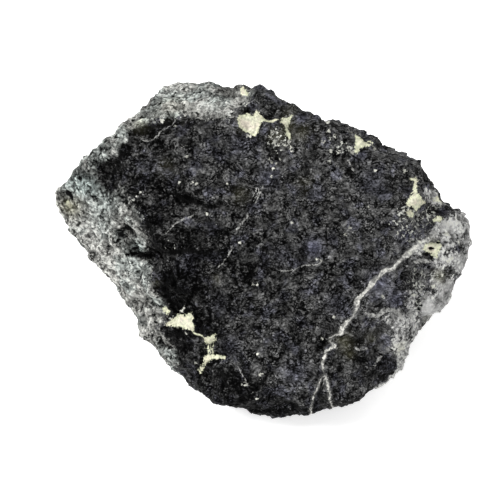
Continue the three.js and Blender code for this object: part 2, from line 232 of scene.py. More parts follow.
# The pale vein and the two arms of its fork: half width, line.
VEIN = [
    (0.22, [(34, 2.4), (32, 1), (30.6, 0), (28.8, -1.6), (27.6, -2.4), (26.5, -3.6), (25.6, -4.8),
            (24, -5), (22.8, -6.2), (21.6, -7.3), (21, -8.4), (19.8, -9.5), (18.5, -10.9),
            (18.4, -12.4), (17.8, -13.8), (17, -15), (15.8, -16), (15.2, -16.9), (15.3, -17.8),
            (14.2, -18), (12.9, -18.6), (13.1, -19.5), (14, -20.2), (13.2, -20.7), (12.2, -21.2),
            (11.9, -22.6), (11.4, -23.6), (11.6, -24.8), (12, -26)]),
    (0.12, [(12, -25.8), (11.1, -27), (10.4, -28.6), (9.8, -30), (9.3, -31.4), (9.1, -34.5),
            (8.2, -38), (8.7, -41), (7.4, -44)]),
    (0.12, [(12, -25.8), (12.5, -28), (12.9, -29.6), (12.8, -30.8), (13.4, -32), (13.9, -35),
            (13.2, -38), (14.6, -40.5)]),
]

# Swellings of the vein: middle, radius, widening.
KNOTS = [
    (21.4, -7.5, 1, 0.55), (28.9, -1.5, 1.2, 0.4), (24, -5, 0.8, 0.22), (18.3, -11.2, 1.1, 0.42),
    (15.4, -17.2, 1, 0.26), (14, -20.1, 0.9, 0.2), (12.8, -18.8, 0.8, 0.16),
    (26.4, -4.2, 0.9, 0.12),
]

# Bright hairlines in the dark stone: half width, line.
HAIRLINES = [
    (0.13, [(-0.3, 12), (-0.8, 10.6), (-1.3, 9.5), (-2, 8.2)]),
    (0.07, [(-1.7, 11.6), (-1.8, 10.6), (-2.5, 9.6)]),
    (0.12, [(-3.2, 6.6), (-4, 5), (-4.6, 4.2), (-5.4, 3.4), (-6.4, 2.6)]),
    (0.12, [(-6.4, 0), (-6.9, -1.2), (-7.5, -2.4)]),
    (0.08, [(-7.8, -2.7), (-8.5, -3.9), (-9.8, -4.7)]),
    (0.06, [(-14.2, 6.3), (-15.3, 5.5), (-16.6, 4.9), (-18, 4), (-19.2, 3.1), (-20.4, 2.1)]),
    (0.09, [(11.6, -3), (10.2, -3.9), (8, -4.2)]), (0.04, [(8, -4.2), (6, -4.9), (3, -5.2)]),
    (0.04, [(-25.2, 21.6), (-24.4, 21), (-23.3, 20.9), (-22.2, 21.3), (-21.2, 22), (-20.3, 22.9),
            (-19.3, 23.7), (-18.2, 24.7), (-16.6, 25.2)]),
    (0.17, [(21.4, -24.1), (22, -23.3), (22.8, -22.8), (23.6, -22.2)]),
    (0.15, [(17.8, -20.5), (19, -20.9), (20.6, -20.7)]),
    (0.06, [(-5.2, -24.6), (-4.6, -26), (-4, -27.4), (-3, -28.4)]),
    (0.07, [(16.5, 17.2), (17.2, 16), (17.9, 14.6)]),
    (0.3, [(29.4, -3.4), (31.2, -3.2), (33.4, -3)]),
    (0.34, [(19.8, -13.4), (21, -14.2), (22.6, -14), (24, -13), (25.8, -12.9), (27, -14),
            (27.6, -16)]),
]

# Black cracks and steps in the dark stone, cut shallow and painted black for the shade that lies in
# them: half width, line.
CRACKS = [
    (0.3, [(-21.6, 12.3), (-19.6, 11.8), (-18.2, 10.8), (-17.2, 9.5), (-15.4, 8.8), (-13.4, 8.3),
           (-11.8, 8.4), (-10, 7.6)]),
    (0.36, [(-23.8, -2.9), (-22.4, -0.9), (-20.4, -1.2), (-17.6, -1.6), (-14.8, -1.1),
            (-12.6, -1.7), (-10.4, -1.6), (-8, -2.6)]),
    (0.22, [(-1.8, 10), (-2.4, 8.8), (-3, 7.6)]), (0.18, [(-5.4, 4.8), (-6.2, 3.7), (-7, 3)]),
    (0.2, [(-1, 27), (-0.7, 26.2), (0, 25.7), (0.8, 25.5), (1.8, 25.6)]),
    (0.2, [(18.5, 18), (19.2, 18.9), (20.2, 19.4), (21.4, 19.6)]),
    (0.13, [(16.9, 23.3), (17.3, 22.4), (17.7, 21.6)]),
    (0.16, [(18.6, 22.6), (19.6, 21.7), (20.4, 21.6)]),
    (0.2, [(8.6, 15.2), (8.2, 14.2), (7.8, 13.2)]),
    (0.2, [(17.2, 15.6), (17.7, 14.9), (17.8, 14.2)]),
    (0.24, [(24, 13.1), (24.8, 13.6), (26, 13.4), (26.9, 12.5)]),
    (0.24, [(-4.6, 1.2), (-3, 0.6), (-1.6, 0.7)]),
    (0.24, [(-3.6, -4.4), (-2.6, -5.8), (-3.6, -6.6)]),
    (0.26, [(-33.4, 13.6), (-31.4, 15.6), (-29.4, 16.6), (-28.2, 18.6), (-26.6, 20.4)]),
    (0.2, [(-25.4, 14.4), (-24, 13.6), (-22.4, 13.8)]),
    (0.2, [(-24.6, 6.6), (-23.4, 4), (-22.6, 1.4)]),
    (0.34, [(-20.4, -10.8), (-18.6, -11.4), (-17, -11.8), (-15.6, -12.8), (-14.2, -13.4)]),
    (0.3, [(-20, -17.4), (-18.4, -18.2), (-16.6, -17.9), (-15, -17.6), (-13.4, -18.8)]),
    (0.3, [(-13.9, -15.6), (-12.8, -17), (-11.4, -17.4)]),
    (0.3, [(-16, -25.4), (-14.6, -27.2), (-12.6, -29.2), (-9.6, -31)]),
    (0.2, [(-22.4, -5.6), (-21, -8), (-20.8, -9.6)]),
    (0.2, [(-9.6, -24.6), (-8.6, -26.4), (-6.6, -27.4)]),
    (0.2, [(14.4, -18.2), (15.4, -18.6), (16.6, -17.4)]), (0.18, [(10.6, -19.4), (12, -19.9)]),
    (0.2, [(31.6, 7.6), (33.4, 7.4), (35.4, 6.6), (37.4, 6.2)]),
    (0.18, [(22.6, -23), (24.4, -22.6), (26, -23.6)]),
    (0.16, [(3.2, 13.6), (3.6, 12.4), (3.4, 11.4)]),
]

# The pale weathered rock at the right-hand end, in its separate patches.
PALE_END = [
    # at the notch
    [(32, 10.6), (33.2, 11.6), (35, 12.6), (40, 14), (43, 10), (36.8, 8.2), (34.6, 7.9),
     (33.4, 8.6), (32, 9.4)],
    # the wedge at the tip
    [(28.6, -1.8), (29.6, 0.6), (31.4, 1.2), (33, 2.8), (34, 4.6), (36.4, 5.4), (38, 6.6), (56, 11),
     (56, -1), (39.6, -1), (38.4, 0.2), (36.8, -0.8), (36.4, -3.4), (34.8, -2.6), (34, -1.2),
     (31.4, -1.8)],
    # under the cream, with a strip running down
    [(34.4, -1.8), (38, -1.4), (56, -3), (56, -9), (38.4, -5.4), (37, -4.6), (36, -4.4), (35.6, -6),
     (35, -9.4), (33.4, -9), (33.6, -6), (33.6, -3)],
    # the smooth patch by the rim
    [(37, -6.2), (56, -10), (56, -39), (30.6, -16.6), (31, -14.6), (31.2, -11.4), (32.2, -10),
     (34, -9.4), (34.4, -7.4), (35.6, -6.6)],
    # a small patch in the dark stone, low down
    [(24.4, -14.2), (25.4, -13.4), (26.8, -13.2), (27.6, -14.6), (27.4, -16.6), (27, -18.2),
     (25.9, -18.2), (25.1, -17), (24.3, -15.6)],
    # the strip and patch below it
    [(29, -8.8), (30, -8.6), (30.2, -12), (30.4, -14.8), (32, -15.4), (54, -34), (28, -38),
     (27.4, -24.8), (26.6, -22), (25.4, -20), (25.4, -18), (26.4, -16.6), (28.4, -15.4),
     (28.8, -12)],
]

# Lighter and darker ground, partly the stone's own tone and partly painted shade, such as the
# shadows under ledges, rind edges and the knob and the darkening where the rim turns away: middle,
# radii across and up, strength (below 0 is lighter).
SHADES = [
    # levelled by measurement: at or near the middles of 3 mm squares whose level was off
    (7.5, -28.5, 2.4, 2, -0.9), (31.5, -7.5, 1.8, 1.8, -0.4), (25.5, -10.5, 2, 1.8, -0.4),
    (4.5, 10.5, 2, 1.8, -0.4), (-22.5, 28.4, 2, 1.6, -0.3), (19.4, -16.4, 1.8, 1.6, -0.4),
    (19.5, -28, 2.2, 2, -0.6), (25.5, -1.6, 2.2, 2.2, -0.6), (19.5, 7.5, 2.2, 2, -0.6),
    (13.5, 13.5, 2.4, 1.8, -0.6), (10.5, -1.5, 2.2, 1.8, -0.5), (22.5, 19.4, 2, 1.6, -0.6),
    (23.6, -20.8, 2.6, 2, -0.5), (-19.5, -10.5, 1.8, 1.8, -0.3), (9.4, -19.6, 1.8, 1.8, -0.4),
    (-16.6, -1.4, 2, 1.6, -0.3), (34.4, -9, 2, 2.6, 0.2), (4.5, -16.5, 1.8, 1.8, 0.25),
    (1.6, -7.4, 1.8, 1.8, 0.25), (-4.5, 16.5, 1.8, 1.8, 0.25), (-31.4, 10.6, 1.8, 2, 0.2),
    (-34.4, 16.4, 1.8, 1.8, 0.2), (-16.4, -13.4, 1.6, 1.6, 0.2),
    # the tip and the upper rind
    (-40.6, 8, 1.6, 3.2, 0.4), (-40, 10.8, 1.4, 1.3, 0.35), (-39, 7.6, 1, 1.4, 0.3),
    (-37, 14.4, 2, 2, 0.45), (-34.8, 18, 1.6, 1.2, 0.6), (-33, 19.4, 1.6, 1.2, 0.45),
    (-27, 25.5, 2, 1.2, 0.6), (-29.2, 22.6, 1.6, 1, 0.4), (-19.2, 27.4, 1.8, 2.4, 0.3),
    (-24, 28, 3, 1.6, 0.12), (-25, 24.9, 1.4, 0.6, -0.6), (-22, 25.9, 2, 0.5, -0.5),
    (-20.4, 25.6, 1.6, 2.6, 0.35), (-13, 28.8, 4, 1.6, -0.45), (-12, 27.6, 6, 1.6, -0.4),
    (-12, 31.6, 5, 1, 0.35), (-7, 27.6, 1.4, 2.4, -0.3), (-35.4, 3, 2.4, 2, -0.3),
    (-36.8, 6.6, 1.6, 1.6, -0.5), (-41.2, 8, 0.9, 4, 0.25), (-6.6, 28, 1.6, 1.6, -0.3),
    # the rind down the left side
    (-31, 10.6, 2.4, 1.6, 0.3), (-27, 8.8, 2.2, 1.8, 0.5), (-27, 17.4, 2, 3, 0.35),
    (-27.4, 2.4, 2.4, 1, 0.3), (-29, 0.4, 2, 1.4, 0.35), (-26, -2.2, 2.6, 0.9, 0.6),
    (-24.6, 0.2, 1, 0.9, -0.6), (-24, -15, 1.6, 1.6, -0.3), (-30.4, -6.8, 2, 1.6, 0.25),
    (-28.8, -3.2, 1, 0.9, -0.3), (-33, -2.2, 3.6, 2.4, -0.35), (-29, -3.4, 2.6, 1.4, -0.35),
    (-26, -11, 2.2, 2.6, -0.45), (-24.4, -15, 1.6, 2, -0.3), (-23, -18.8, 2.6, 1.4, 0.3),
    (-20.4, -22.4, 1.8, 1.2, 0.3), (-24.6, -18, 0.8, 0.7, 0.7), (-21, -19.6, 4, 2.4, 0.2),
    (30, 8.8, 1.6, 1.6, -0.4), (-4.4, 30.9, 1.6, 0.9, -0.7),
    # the broken face, upper left
    # Several rows here paint shade: the shadow under the rind's edge and the ledges, and the shadow
    # on the knob's left and below it.
    (-30.2, 14.4, 2.6, 2.6, 0.6), (-27.8, 18.6, 1.6, 1.6, 0.5), (-24, 23, 2.4, 1, 0.8),
    (-22.6, 20.6, 2, 1.8, 0.55), (-22.4, 13.4, 3.4, 1.2, 0.7), (-20.6, 11.4, 2.4, 1, 0.6),
    (-14.4, 24.5, 2.4, 0.8, 0.5), (-20.4, 24.4, 1.6, 0.8, 0.4), (-17.4, 19.6, 1.2, 1.6, 0.35),
    (-12.6, 19.6, 1, 1.2, 0.2), (-15.8, 9.4, 3.2, 1, 0.85), (-12, 8.1, 2, 0.6, 0.9),
    (-4, 26.8, 1.8, 0.5, 0.8), (-2.7, 27.8, 0.5, 0.9, 0.5), (-3.1, 30.2, 0.4, 0.6, 0.8),
    (0.2, 29.4, 2.2, 2.2, -0.35), (6.4, 28, 1.2, 1, 0.3), (3.2, 26, 1.2, 0.3, 0.4),
    # its left and middle
    (-22, 4.4, 2.6, 3.4, 0.5), (-18, -0.9, 7.5, 1.5, 0.85), (-21.6, 0.4, 1, 1.6, 0.6),
    (-9.6, 2.6, 2.4, 1.4, 0.4), (-16.4, 2.2, 2.6, 1.2, 0.5), (-2.5, 9, 0.5, 0.8, 0.8),
    (-3.2, 7.7, 0.5, 0.7, 0.8), (-6, -2, 4, 3, 0.35), (-3.4, -6, 3, 1.8, 0.4),
    (-3, -0.4, 1.8, 1.6, 0.3), (1.8, 8.4, 1.4, 1.8, 0.6), (-8, 5, 2, 1, 0.2),
    (-39.6, 5, 1.2, 1.4, 0.35), (-0.6, -8.4, 1.6, 2, 0.4), (-4, -6.2, 2.2, 1, 0.35),
    (-16, 7, 1.6, 1.8, 0.35), (-10.8, 20.6, 1.4, 1.8, -0.3), (3.6, 21.6, 1.6, 2.4, 0.4),
    (12, 18, 1.2, 2.4, 0.4), (16.6, 11.8, 1.6, 2, 0.45), (3.4, 0.6, 2.4, 1.6, 0.25),
    # its lower left and bottom
    (-19.4, -8, 3, 3, 0.65), (-17.6, -8.4, 3.4, 6, 0.35), (-18.6, -11.4, 1.6, 1.4, 0.85),
    (-17.2, -12.8, 2, 0.8, 0.85), (-14, -6, 6, 5, 0.28), (-13.4, -13, 3, 4, 0.3),
    (-12.6, -15.4, 1.8, 2, 0.7), (-15.6, -18, 3, 0.8, 0.85), (-16.2, -21.6, 1.6, 2.6, 0.6),
    (-10.6, -22.4, 1.4, 1.2, 0.4), (-15, -20, 6, 6, 0.15), (-13, -9, 1.6, 1.4, 0.35),
    (-10.4, -17.6, 2.2, 1.3, 0.6), (-10, -22, 6, 5, 0.15), (-11, -23.4, 2, 1.6, 0.6),
    (-7.4, -27, 2.8, 1.8, 0.5), (-13.6, -28, 3, 2.4, 0.7), (-9.4, -31, 4, 1.8, 0.7),
    (-4, -28.6, 5, 3, 0.55), (-2, -33, 8, 1.8, 0.6), (6, -33.4, 8, 1.4, 0.7),
    (16.6, -31, 4, 1.6, 0.75), (22.4, -26.4, 3.4, 1.4, 0.6), (26.4, -25.8, 2, 1.2, 0.5),
    # its right, lighter
    (20, 9, 8, 9, -0.16), (24, 0, 5, 6, -0.15), (6, 11, 4, 3, -0.12), (3, -24, 3, 4, -0.15),
    (12, 20, 8, 4, -0.12), (20, 13, 5, 3.4, -0.22), (19, 16, 1.4, 3, -0.25),
    (27.6, 12.8, 1.2, 2, -0.35), (8, 10, 8, 7, -0.2), (9, 17, 1.6, 2.6, -0.15),
    (18.6, 1.8, 2.2, 1.8, -0.45), (9.6, -0.8, 1.9, 1.3, -0.5), (7, 18, 2, 3, -0.25),
    (24.6, 19.2, 2.4, 1.2, -0.6), (5, 12.6, 2.4, 1.4, -0.2), (32.6, 11.8, 1.5, 1.2, -0.8),
    (22.6, 20.2, 1.8, 1, -0.6), (-36.4, 19.4, 2, 1.6, 0.5), (31.4, 15.4, 1.4, 1.6, 0.5),
    (17.8, 23, 2, 1, 0.5), (8, 14, 0.6, 0.9, 0.75), (16.9, 14.7, 0.8, 0.8, 0.8),
    (25.2, 13.2, 1.4, 0.35, 0.85), (11.8, 16.6, 0.5, 1.6, 0.5), (15, 4.8, 0.8, 0.9, 0.6),
    (24.6, 4, 1.3, 1.1, 0.6), (27, 2.4, 2.4, 1.4, -0.6), (25.6, 3, 1.4, 1.6, -0.5),
    (26, -2.2, 1.3, 1.3, -0.4), (5, 12.2, 1.6, 1.4, -0.3), (10, 7, 2, 2, -0.25),
    (12, 13.6, 1.6, 1.4, -0.35), (18.6, 15, 1.2, 2, -0.3), (24, 19.6, 1.8, 1, -0.4),
    (7.4, 17, 1.2, 1.2, -0.25), (19.6, 4.4, 1.2, 2, -0.25), (1.6, 19, 1, 1.2, -0.3),
    (28.4, 9, 1.6, 2, -0.3), (25.6, -1.8, 2.6, 2, -0.65), (31.6, -1, 1.1, 6, -0.5),
    (34.6, 8.7, 2, 1, -1), (37.6, 9.8, 2.4, 1.4, -1), (36.2, -1.6, 1.6, 1.6, -0.6),
    (29.3, 0.8, 1.4, 0.6, 0.8), (34.6, 7, 2.4, 0.6, 0.5), (34.5, 5.2, 0.8, 0.6, -0.7),
    (35.2, 1.8, 0.7, 0.5, 0.6), (31.6, 5, 2, 1.6, -0.9), (30.6, 0, 2, 1, -0.2),
    # beyond the vein
    (21, -6.6, 1.4, 1.6, -0.4), (32.6, -4.6, 1.4, 0.8, 0.3), (32.8, -0.8, 1, 1.4, -0.6),
    (37.2, 2.2, 1.2, 1, -0.4), (31, -5.4, 2.4, 0.8, -0.5), (30.6, -10, 1.4, 4, -0.4),
    (25.9, -12.4, 1.7, 4, -0.95), (22, -10.5, 5, 4.4, -0.35), (21.4, -14.6, 2.6, 1.6, -0.8),
    (15.8, -11.8, 2.4, 1.6, -0.45), (10.6, -18, 2.2, 1.6, -0.4), (16.4, -20.4, 1.4, 1, -0.4),
    (2.6, -21.4, 1.4, 1.4, -0.35), (6.4, -22.8, 1, 1.6, -0.4), (12.6, -28.4, 1.6, 1.6, 0.35),
    (22.4, -16, 3.6, 2.4, -0.3), (22.8, -19.6, 2.2, 1.3, -0.8), (12.4, -17.6, 2, 1.2, -0.3),
    (16.4, -16.2, 1.4, 1.2, 0.5), (19.2, -10, 1.2, 1, 0.35), (11.2, -19.9, 1.7, 0.6, 0.5),
    (19.6, -19.4, 1.6, 0.8, 0.6), (19, -23.2, 2.4, 0.6, 0.75), (24, -23.6, 2.4, 1.7, 0.8),
    (25.8, -15.8, 1.6, 2.2, 0.5), (26.8, -14.4, 2.6, 1, 0.3), (2, -22.4, 1.4, 2, -0.35),
    (7, -29.2, 2.4, 1.3, -0.35), (11.2, -18.6, 1.8, 0.8, -0.5), (27.2, -9.6, 1, 2.4, -0.3),
    (26, -22.2, 1.5, 1.6, -0.7), (15.6, -19.6, 2, 1.6, -0.3), (38.6, -0.8, 1.6, 0.8, 0.4),
    (40.2, 0.6, 0.7, 1.6, 0.4), (37.6, 4.2, 2.6, 1.8, -0.8), (32, -3.2, 2.2, 0.7, -0.8),
    (33, -8, 2, 1, -0.6), (36.8, -6.6, 1.2, 1.6, -0.45), (38, 1.6, 0.7, 0.5, 0.7),
    (36.4, -4.6, 0.7, 0.7, 0.6), (35.2, -6.6, 0.9, 0.9, 0.6), (36.6, -9.6, 2.2, 3.4, 0.5),
    (34.6, -13, 2.2, 2, 0.3), (33.8, -10.6, 0.4, 1.8, 0.3), (38.4, -3, 1.3, 1.8, 0.5),
    (36.8, 4, 1.8, 1.2, 0.25), (32.4, -6, 0.9, 2.6, -0.5), (31.8, -15.4, 1.2, 1.2, -0.6),
    (28.8, -18.4, 1.4, 1.6, 0.55), (36.8, -2.8, 0.8, 0.6, -0.5), (27, -20.6, 1, 2, -0.3),
]

# Bumps and dents of the rim too small for the solid: middle, radius, rise.
EDGE_BUMPS = [
    (30.4, 16.6, 2.2, 0.45), (31.6, 15, 1.4, 0.5), (33.9, 12.8, 1.1, -0.8), (34.8, 10.3, 1.2, 0.8),
    (17.6, 23.4, 3, 0.55), (6.3, 28.1, 1, 1), (7.4, 27.3, 0.6, -0.35), (8.8, 26.7, 1.2, 0.4),
    (4.2, 28.9, 0.8, 0.3), (0.8, 31, 1.2, 0.3), (24.2, 20.2, 2.2, -0.8), (37.6, 7.6, 2, 0.5),
    (39.8, -3.4, 2.4, 1.1), (36.2, -11.6, 2.8, 0.7), (32.6, -15.8, 1.6, -1.6), (29, -20, 3, 0.6),
    (26.4, -25.6, 2.2, 1), (17.6, -31.6, 3, 0.5), (21.4, -29.6, 2.2, 0.25), (1.6, -34.4, 3, 0.5),
    (-9.6, -31.2, 2.6, 0.75), (-13.6, -28.8, 2.2, 0.9), (-24.4, -18, 1.1, 1),
    (-40.6, 11.4, 1.8, 0.9), (-35, 18.4, 1.8, 0.9), (-39.6, 4.2, 1.4, 0.6), (-24, 28.6, 2, -0.9),
    (-7.2, 32.2, 2.2, -1.5), (-3.2, 31.4, 0.9, -0.9), (-5.6, 32, 0.8, 0.5),
]

# Small black holes and gaps, in rind and dark stone, cut in and painted black for the shade inside
# them: middle, radii across and up, depth.
HOLES = [
    (-39.1, 10.5, 0.5, 0.6, 1), (-38.7, 9.6, 0.4, 0.7, 1), (-39.6, 10, 0.4, 0.3, 0.6),
    (-38, 6.2, 0.7, 0.35, 0.5), (-37.3, 5.5, 0.35, 0.3, 0.4), (-27.9, 3.5, 0.6, 0.6, 0.9),
    (-29.3, 2.6, 0.8, 0.5, 0.9), (-28.9, 1.7, 0.8, 0.4, 0.8), (-27.4, 2.9, 0.6, 0.35, 0.7),
    (-26.4, -0.9, 0.65, 0.45, 0.8), (-25.2, -1.9, 0.9, 0.4, 0.8), (-33, 8, 0.5, 0.35, 0.3),
    (-32, 19.6, 0.8, 0.35, 0.4), (-16.2, 30, 0.5, 0.35, 0.3), (-9, 29.5, 0.8, 0.4, 0.4),
    (-11.1, 27, 0.5, 0.35, 0.4), (-36.3, 5.9, 0.35, 0.7, 0.3), (-30.2, 14.6, 0.8, 1, 0.6),
    (-29.4, 16, 0.6, 0.8, 0.5), (-20.8, -14.2, 0.6, 0.4, 0.5), (-16.3, -14, 0.28, 0.5, 1),
    (-17.3, -13.4, 0.3, 0.3, 0.6), (-18.7, -14.4, 0.7, 0.35, 0.5), (19.1, -11, 0.35, 0.5, 0.4),
    (36.8, 0.4, 0.5, 0.35, 0.4), (32.5, -1.9, 0.65, 0.35, 0.9), (34.4, -4.8, 0.5, 0.4, 0.4),
    (30.8, -11.4, 0.4, 0.4, 0.7), (30.9, -12.8, 0.45, 0.4, 0.8), (30.8, -14.3, 0.4, 0.4, 0.7),
    (21.1, 21.1, 0.6, 0.3, 0.8), (16.8, 14.9, 0.6, 0.4, 0.6), (25.8, -14.2, 0.3, 0.5, 0.3),
    (-3.5, 30, 0.35, 0.8, 0.5), (33.6, -0.75, 0.6, 0.32, 1.1), (35.1, 0.35, 0.45, 0.3, 0.9),
    (34.8, -1.7, 0.3, 0.35, 0.4), (36.1, -3.6, 0.35, 0.3, 0.3), (32.4, -6.6, 0.35, 0.45, 0.4),
    (31.6, -9.4, 0.35, 0.35, 0.3), (29.9, -7.4, 0.45, 0.3, 0.3),
]

# Smooth blue-violet patches of the dark stone: middle, radius, strength.
BLUES = [
    (9.7, -0.6, 2.1, 1), (7.2, 25.2, 1.4, 0.8), (19.4, 18.2, 1.2, 0.8), (0, 22.8, 0.9, 0.8),
    (35.4, 6.7, 0.8, 0.9), (28.4, 1.8, 1.7, 1), (22.6, -7.4, 2.4, 0.8), (26.4, -11, 2, 0.8),
    (21.4, 12.6, 2.6, 0.5), (-4.6, 20.4, 2.6, 0.5), (0.6, 13.4, 2, 0.7), (-15.6, -5, 2.4, 0.4),
    (6, -25.6, 2.4, 0.6), (24.6, -24.4, 1.8, 0.7), (-7, -20.4, 2, 0.6), (14.6, -11.6, 2.4, 0.5),
    (-22.4, 15.6, 2, 0.4), (32.8, 11.4, 1.2, 0.7), (3.4, -2, 2, 0.4), (-9.4, -12, 2, 0.4),
]

# Smooth ground in the pale rock: middle, radii across and up, strength.
CALMS = [
    (36.6, 4, 1.8, 1.3, 0.8), (36, -9.8, 1.7, 3, 1), (32.7, -12.6, 1.4, 2, 1),
    (38.6, -11, 2, 3.4, 1), (35.6, -14, 2, 2, 1), (38.7, -3.6, 1, 1.5, 0.9),
    (35, -6.4, 1, 1.5, 0.5), (32.8, 11.2, 1, 0.9, 0.8), (31.8, -3.2, 1.8, 0.4, 0.6),
    (-41, 5, 1.4, 2, 0.3),
]

# Green cast on the pale ground: middle, radius, strength.
GREENS = [
    (-37.6, 12.4, 2.4, 1), (-34.6, 11.6, 2.6, 0.8), (-31, 9, 2.4, 0.5), (-25.6, -0.6, 1.8, 1),
    (-33, 6, 3, 0.4), (38, -6, 1.6, 0.7), (-20, 22, 2, 0.4), (-24, 25.2, 2, 0.5),
]

# Stains, olive to rust: middle, radius, strength.
STAINS = [
    (15.8, -19.4, 1.7, 0.9), (17, -21.8, 0.9, 0.9), (-4.4, 24.2, 1.5, 0.7), (4.6, 23.6, 1.2, 0.7),
    (21.6, -18.8, 1.4, 0.6), (27, -20.6, 1.4, 0.5), (-25, 24.2, 1.6, 0.6), (-20, 15.6, 1.6, 0.4),
    (-5, 10, 1.6, 0.5), (5, 26.4, 1.4, 0.45), (2.6, 21.8, 1.8, 0.7), (7.4, 22.6, 1.6, 0.6),
    (8, 12, 1.6, 0.35), (-39, 7.6, 1.8, 1), (-19, 28, 3, 0.25), (-9.8, -7, 1, 0.5),
    (-21.6, -7.4, 0.8, 0.5), (35, -6.2, 1.3, 0.8), (33.4, 0.6, 1.2, 0.4),
]

# Where small white grains are scattered: middle, radius, strength.
FLECKS = [
    (2.2, 22.8, 1.8, 0.45), (1.6, 19.6, 1.4, 0.5), (2.8, 21, 3, 0.55), (4.6, 19.4, 1.4, 0.5),
    (13.6, 20, 3, 0.65), (17, 19.4, 2, 0.7), (-4.2, 28.6, 1.7, 1), (1.8, 15.6, 2, 0.45),
    (-14, 12.4, 2.4, 0.5), (-16, 19, 3, 0.6), (27, 4.4, 3, 0.9), (28.6, 6.6, 1.6, 0.9),
    (31, 4, 3, 1), (33, 6.6, 1.6, 0.6), (-9, -23, 3, 0.3), (-2, -8, 2.4, 0.4), (-19, -14, 2, 0.7),
    (36.6, -0.6, 2, 0.7), (31, -5.4, 2, 1), (31, -9, 2.2, 1), (31, -13, 2, 0.9), (28, -8, 2, 0.4),
    (28.6, 1.4, 2, 0.5), (34.6, -6, 1.6, 0.6), (-9, 4.4, 3, 0.5), (-18.5, 0, 3.4, 0.6),
    (14, 11, 7, 0.3), (12, -3, 6, 0.2), (22, 15.6, 2, 0.5), (-26, 9, 2, 0.8), (22, -15, 3, 0.5),
    (-3, -28, 3, 0.5), (0, 8, 14, 0.1),
    # levelled by measurement, as the first shades are
    (31.6, 13.4, 1.8, 0.8), (34.6, 7.6, 1.6, 0.7),
]


# ---------------------------------------------------------------- noise
def lattice(i, j, k, seed):
    """A repeatable random value from 0 to 1 at each lattice point: the point's whole numbers
    and the seed, each times a large odd number, are summed and mixed by shifts and products."""
    word = np.uint32
    h = i * word(374761393) + j * word(668265263) + k * word(1274126177)
    h = h + word(seed * 974711 & 0xFFFFFFFF)
    h = (h ^ (h >> word(13))) * word(1103515245)
    h = (h ^ (h >> word(15))) * word(668265263)
    return (h ^ (h >> word(16))) / 4294967296.0


def words(values):
    """Whole numbers as unsigned 32-bit words, negatives wrapping round."""
    return (values.astype(np.int64) & 0xFFFFFFFF).astype(np.uint32)


def noise(p, size, seed):
    """Smooth noise from -1 to 1: lattice values blended by a quintic in each direction."""
    cell = np.floor(p / size)
    f = p / size - cell
    t = f * f * f * (f * (6 * f - 15) + 10)
    total = np.zeros(len(p))
    for corner in range(8):
        step = np.array([corner & 1, corner >> 1 & 1, corner >> 2])
        weight = np.prod(np.where(step, t, 1 - t), axis=1)
        i, j, k = words(cell + step).T
        total += weight * lattice(i, j, k, seed)
    return 2 * total - 1


def chips(p, size, seed):
    """Chipped stone, about -1 to 1: random cells, each a tilted plane at its own height,
    blended by exp(-CHIP_EDGE * distance squared) to the cells' centres."""
    q = p / size
    cell = np.floor(q)
    total = np.zeros(len(p))
    weights = np.zeros(len(p))
    for n in range(27):
        corner = cell + np.array([n % 3 - 1, n // 3 % 3 - 1, n // 9 - 1])
        i, j, k = words(corner).T
        away = [q[:, a] - corner[:, a] - lattice(i, j, k, seed + a) for a in range(3)]
        weight = np.exp(-CHIP_EDGE * (away[0] ** 2 + away[1] ** 2 + away[2] ** 2))
        height = lattice(i, j, k, seed + 3) - 0.5
        for a in range(3):
            height += CHIP_TILT * away[a] * (lattice(i, j, k, seed + 4 + a) - 0.5)
        total += weight * height
        weights += weight
    return 2 * total / weights


def layers(kind, p, table):
    """A sum over a table's rows: amount * noise or chips of that size and seed."""
    return sum(amount * kind(p, size, seed) for amount, size, seed in table)


def smooth(value, low, high):
    """0 below low, 1 above high, and a smooth cubic between."""
    t = np.clip((value - low) / (high - low), 0, 1)
    return t * t * (3 - 2 * t)


def bell(distance, width):
    """exp(-(distance / width)^2)."""
    return np.exp(-((distance / width) ** 2))


# ---------------------------------------------------------------- lines, outlines and spots
def off_stretch(x, y, start, end):
    """How far along a straight stretch each place's nearest point on it lies, 0 to 1, and
    how far off the place is."""
    (ax, ay), (bx, by) = start, end
    dx, dy = bx - ax, by - ay
    held = np.clip(((x - ax) * dx + (y - ay) * dy) / (dx * dx + dy * dy), 0, 1)
    return held, np.hypot(x - ax - held * dx, y - ay - held * dy)


def beside_line(x, y, line):
    """Signed distance to a line, positive on its right, and how far along it, 0 to 1. Each
    place takes its nearest point on each stretch, and of those the nearest."""
    best = np.full(len(x), np.inf)
    side = np.ones(len(x))
    along = np.zeros(len(x))
    for n, ((ax, ay), (bx, by)) in enumerate(zip(line, line[1:])):
        held, away = off_stretch(x, y, (ax, ay), (bx, by))
        nearer = away < best - 1e-9
        right = np.where((by - ay) * (x - ax) - (bx - ax) * (y - ay) >= 0, 1.0, -1.0)
        side = np.where(nearer, right, side)
        along = np.where(nearer, (n + held) / (len(line) - 1), along)
        best = np.where(nearer, away, best)
    return side * best, along


def inside_outline(x, y, corners):
    """Distance to a closed outline, positive inside it: nearest edge, signed by crossings."""
    best = np.full(len(x), np.inf)
    inside = np.zeros(len(x), bool)
    for (ax, ay), (bx, by) in zip(corners, corners[1:] + corners[:1]):
        best = np.minimum(best, off_stretch(x, y, (ax, ay), (bx, by))[1])
        if by != ay:
            spans = (ay > y) != (by > y)
            inside ^= spans & (x < ax + (y - ay) * (bx - ax) / (by - ay))
    return np.where(inside, best, -best)


def inside_any(x, y, outlines, outside):
    """The greatest of the distances inside several outlines, at least the value outside."""
    best = np.full(len(x), outside)
    for corners in outlines:
        best = np.maximum(best, inside_outline(x, y, corners))
    return best


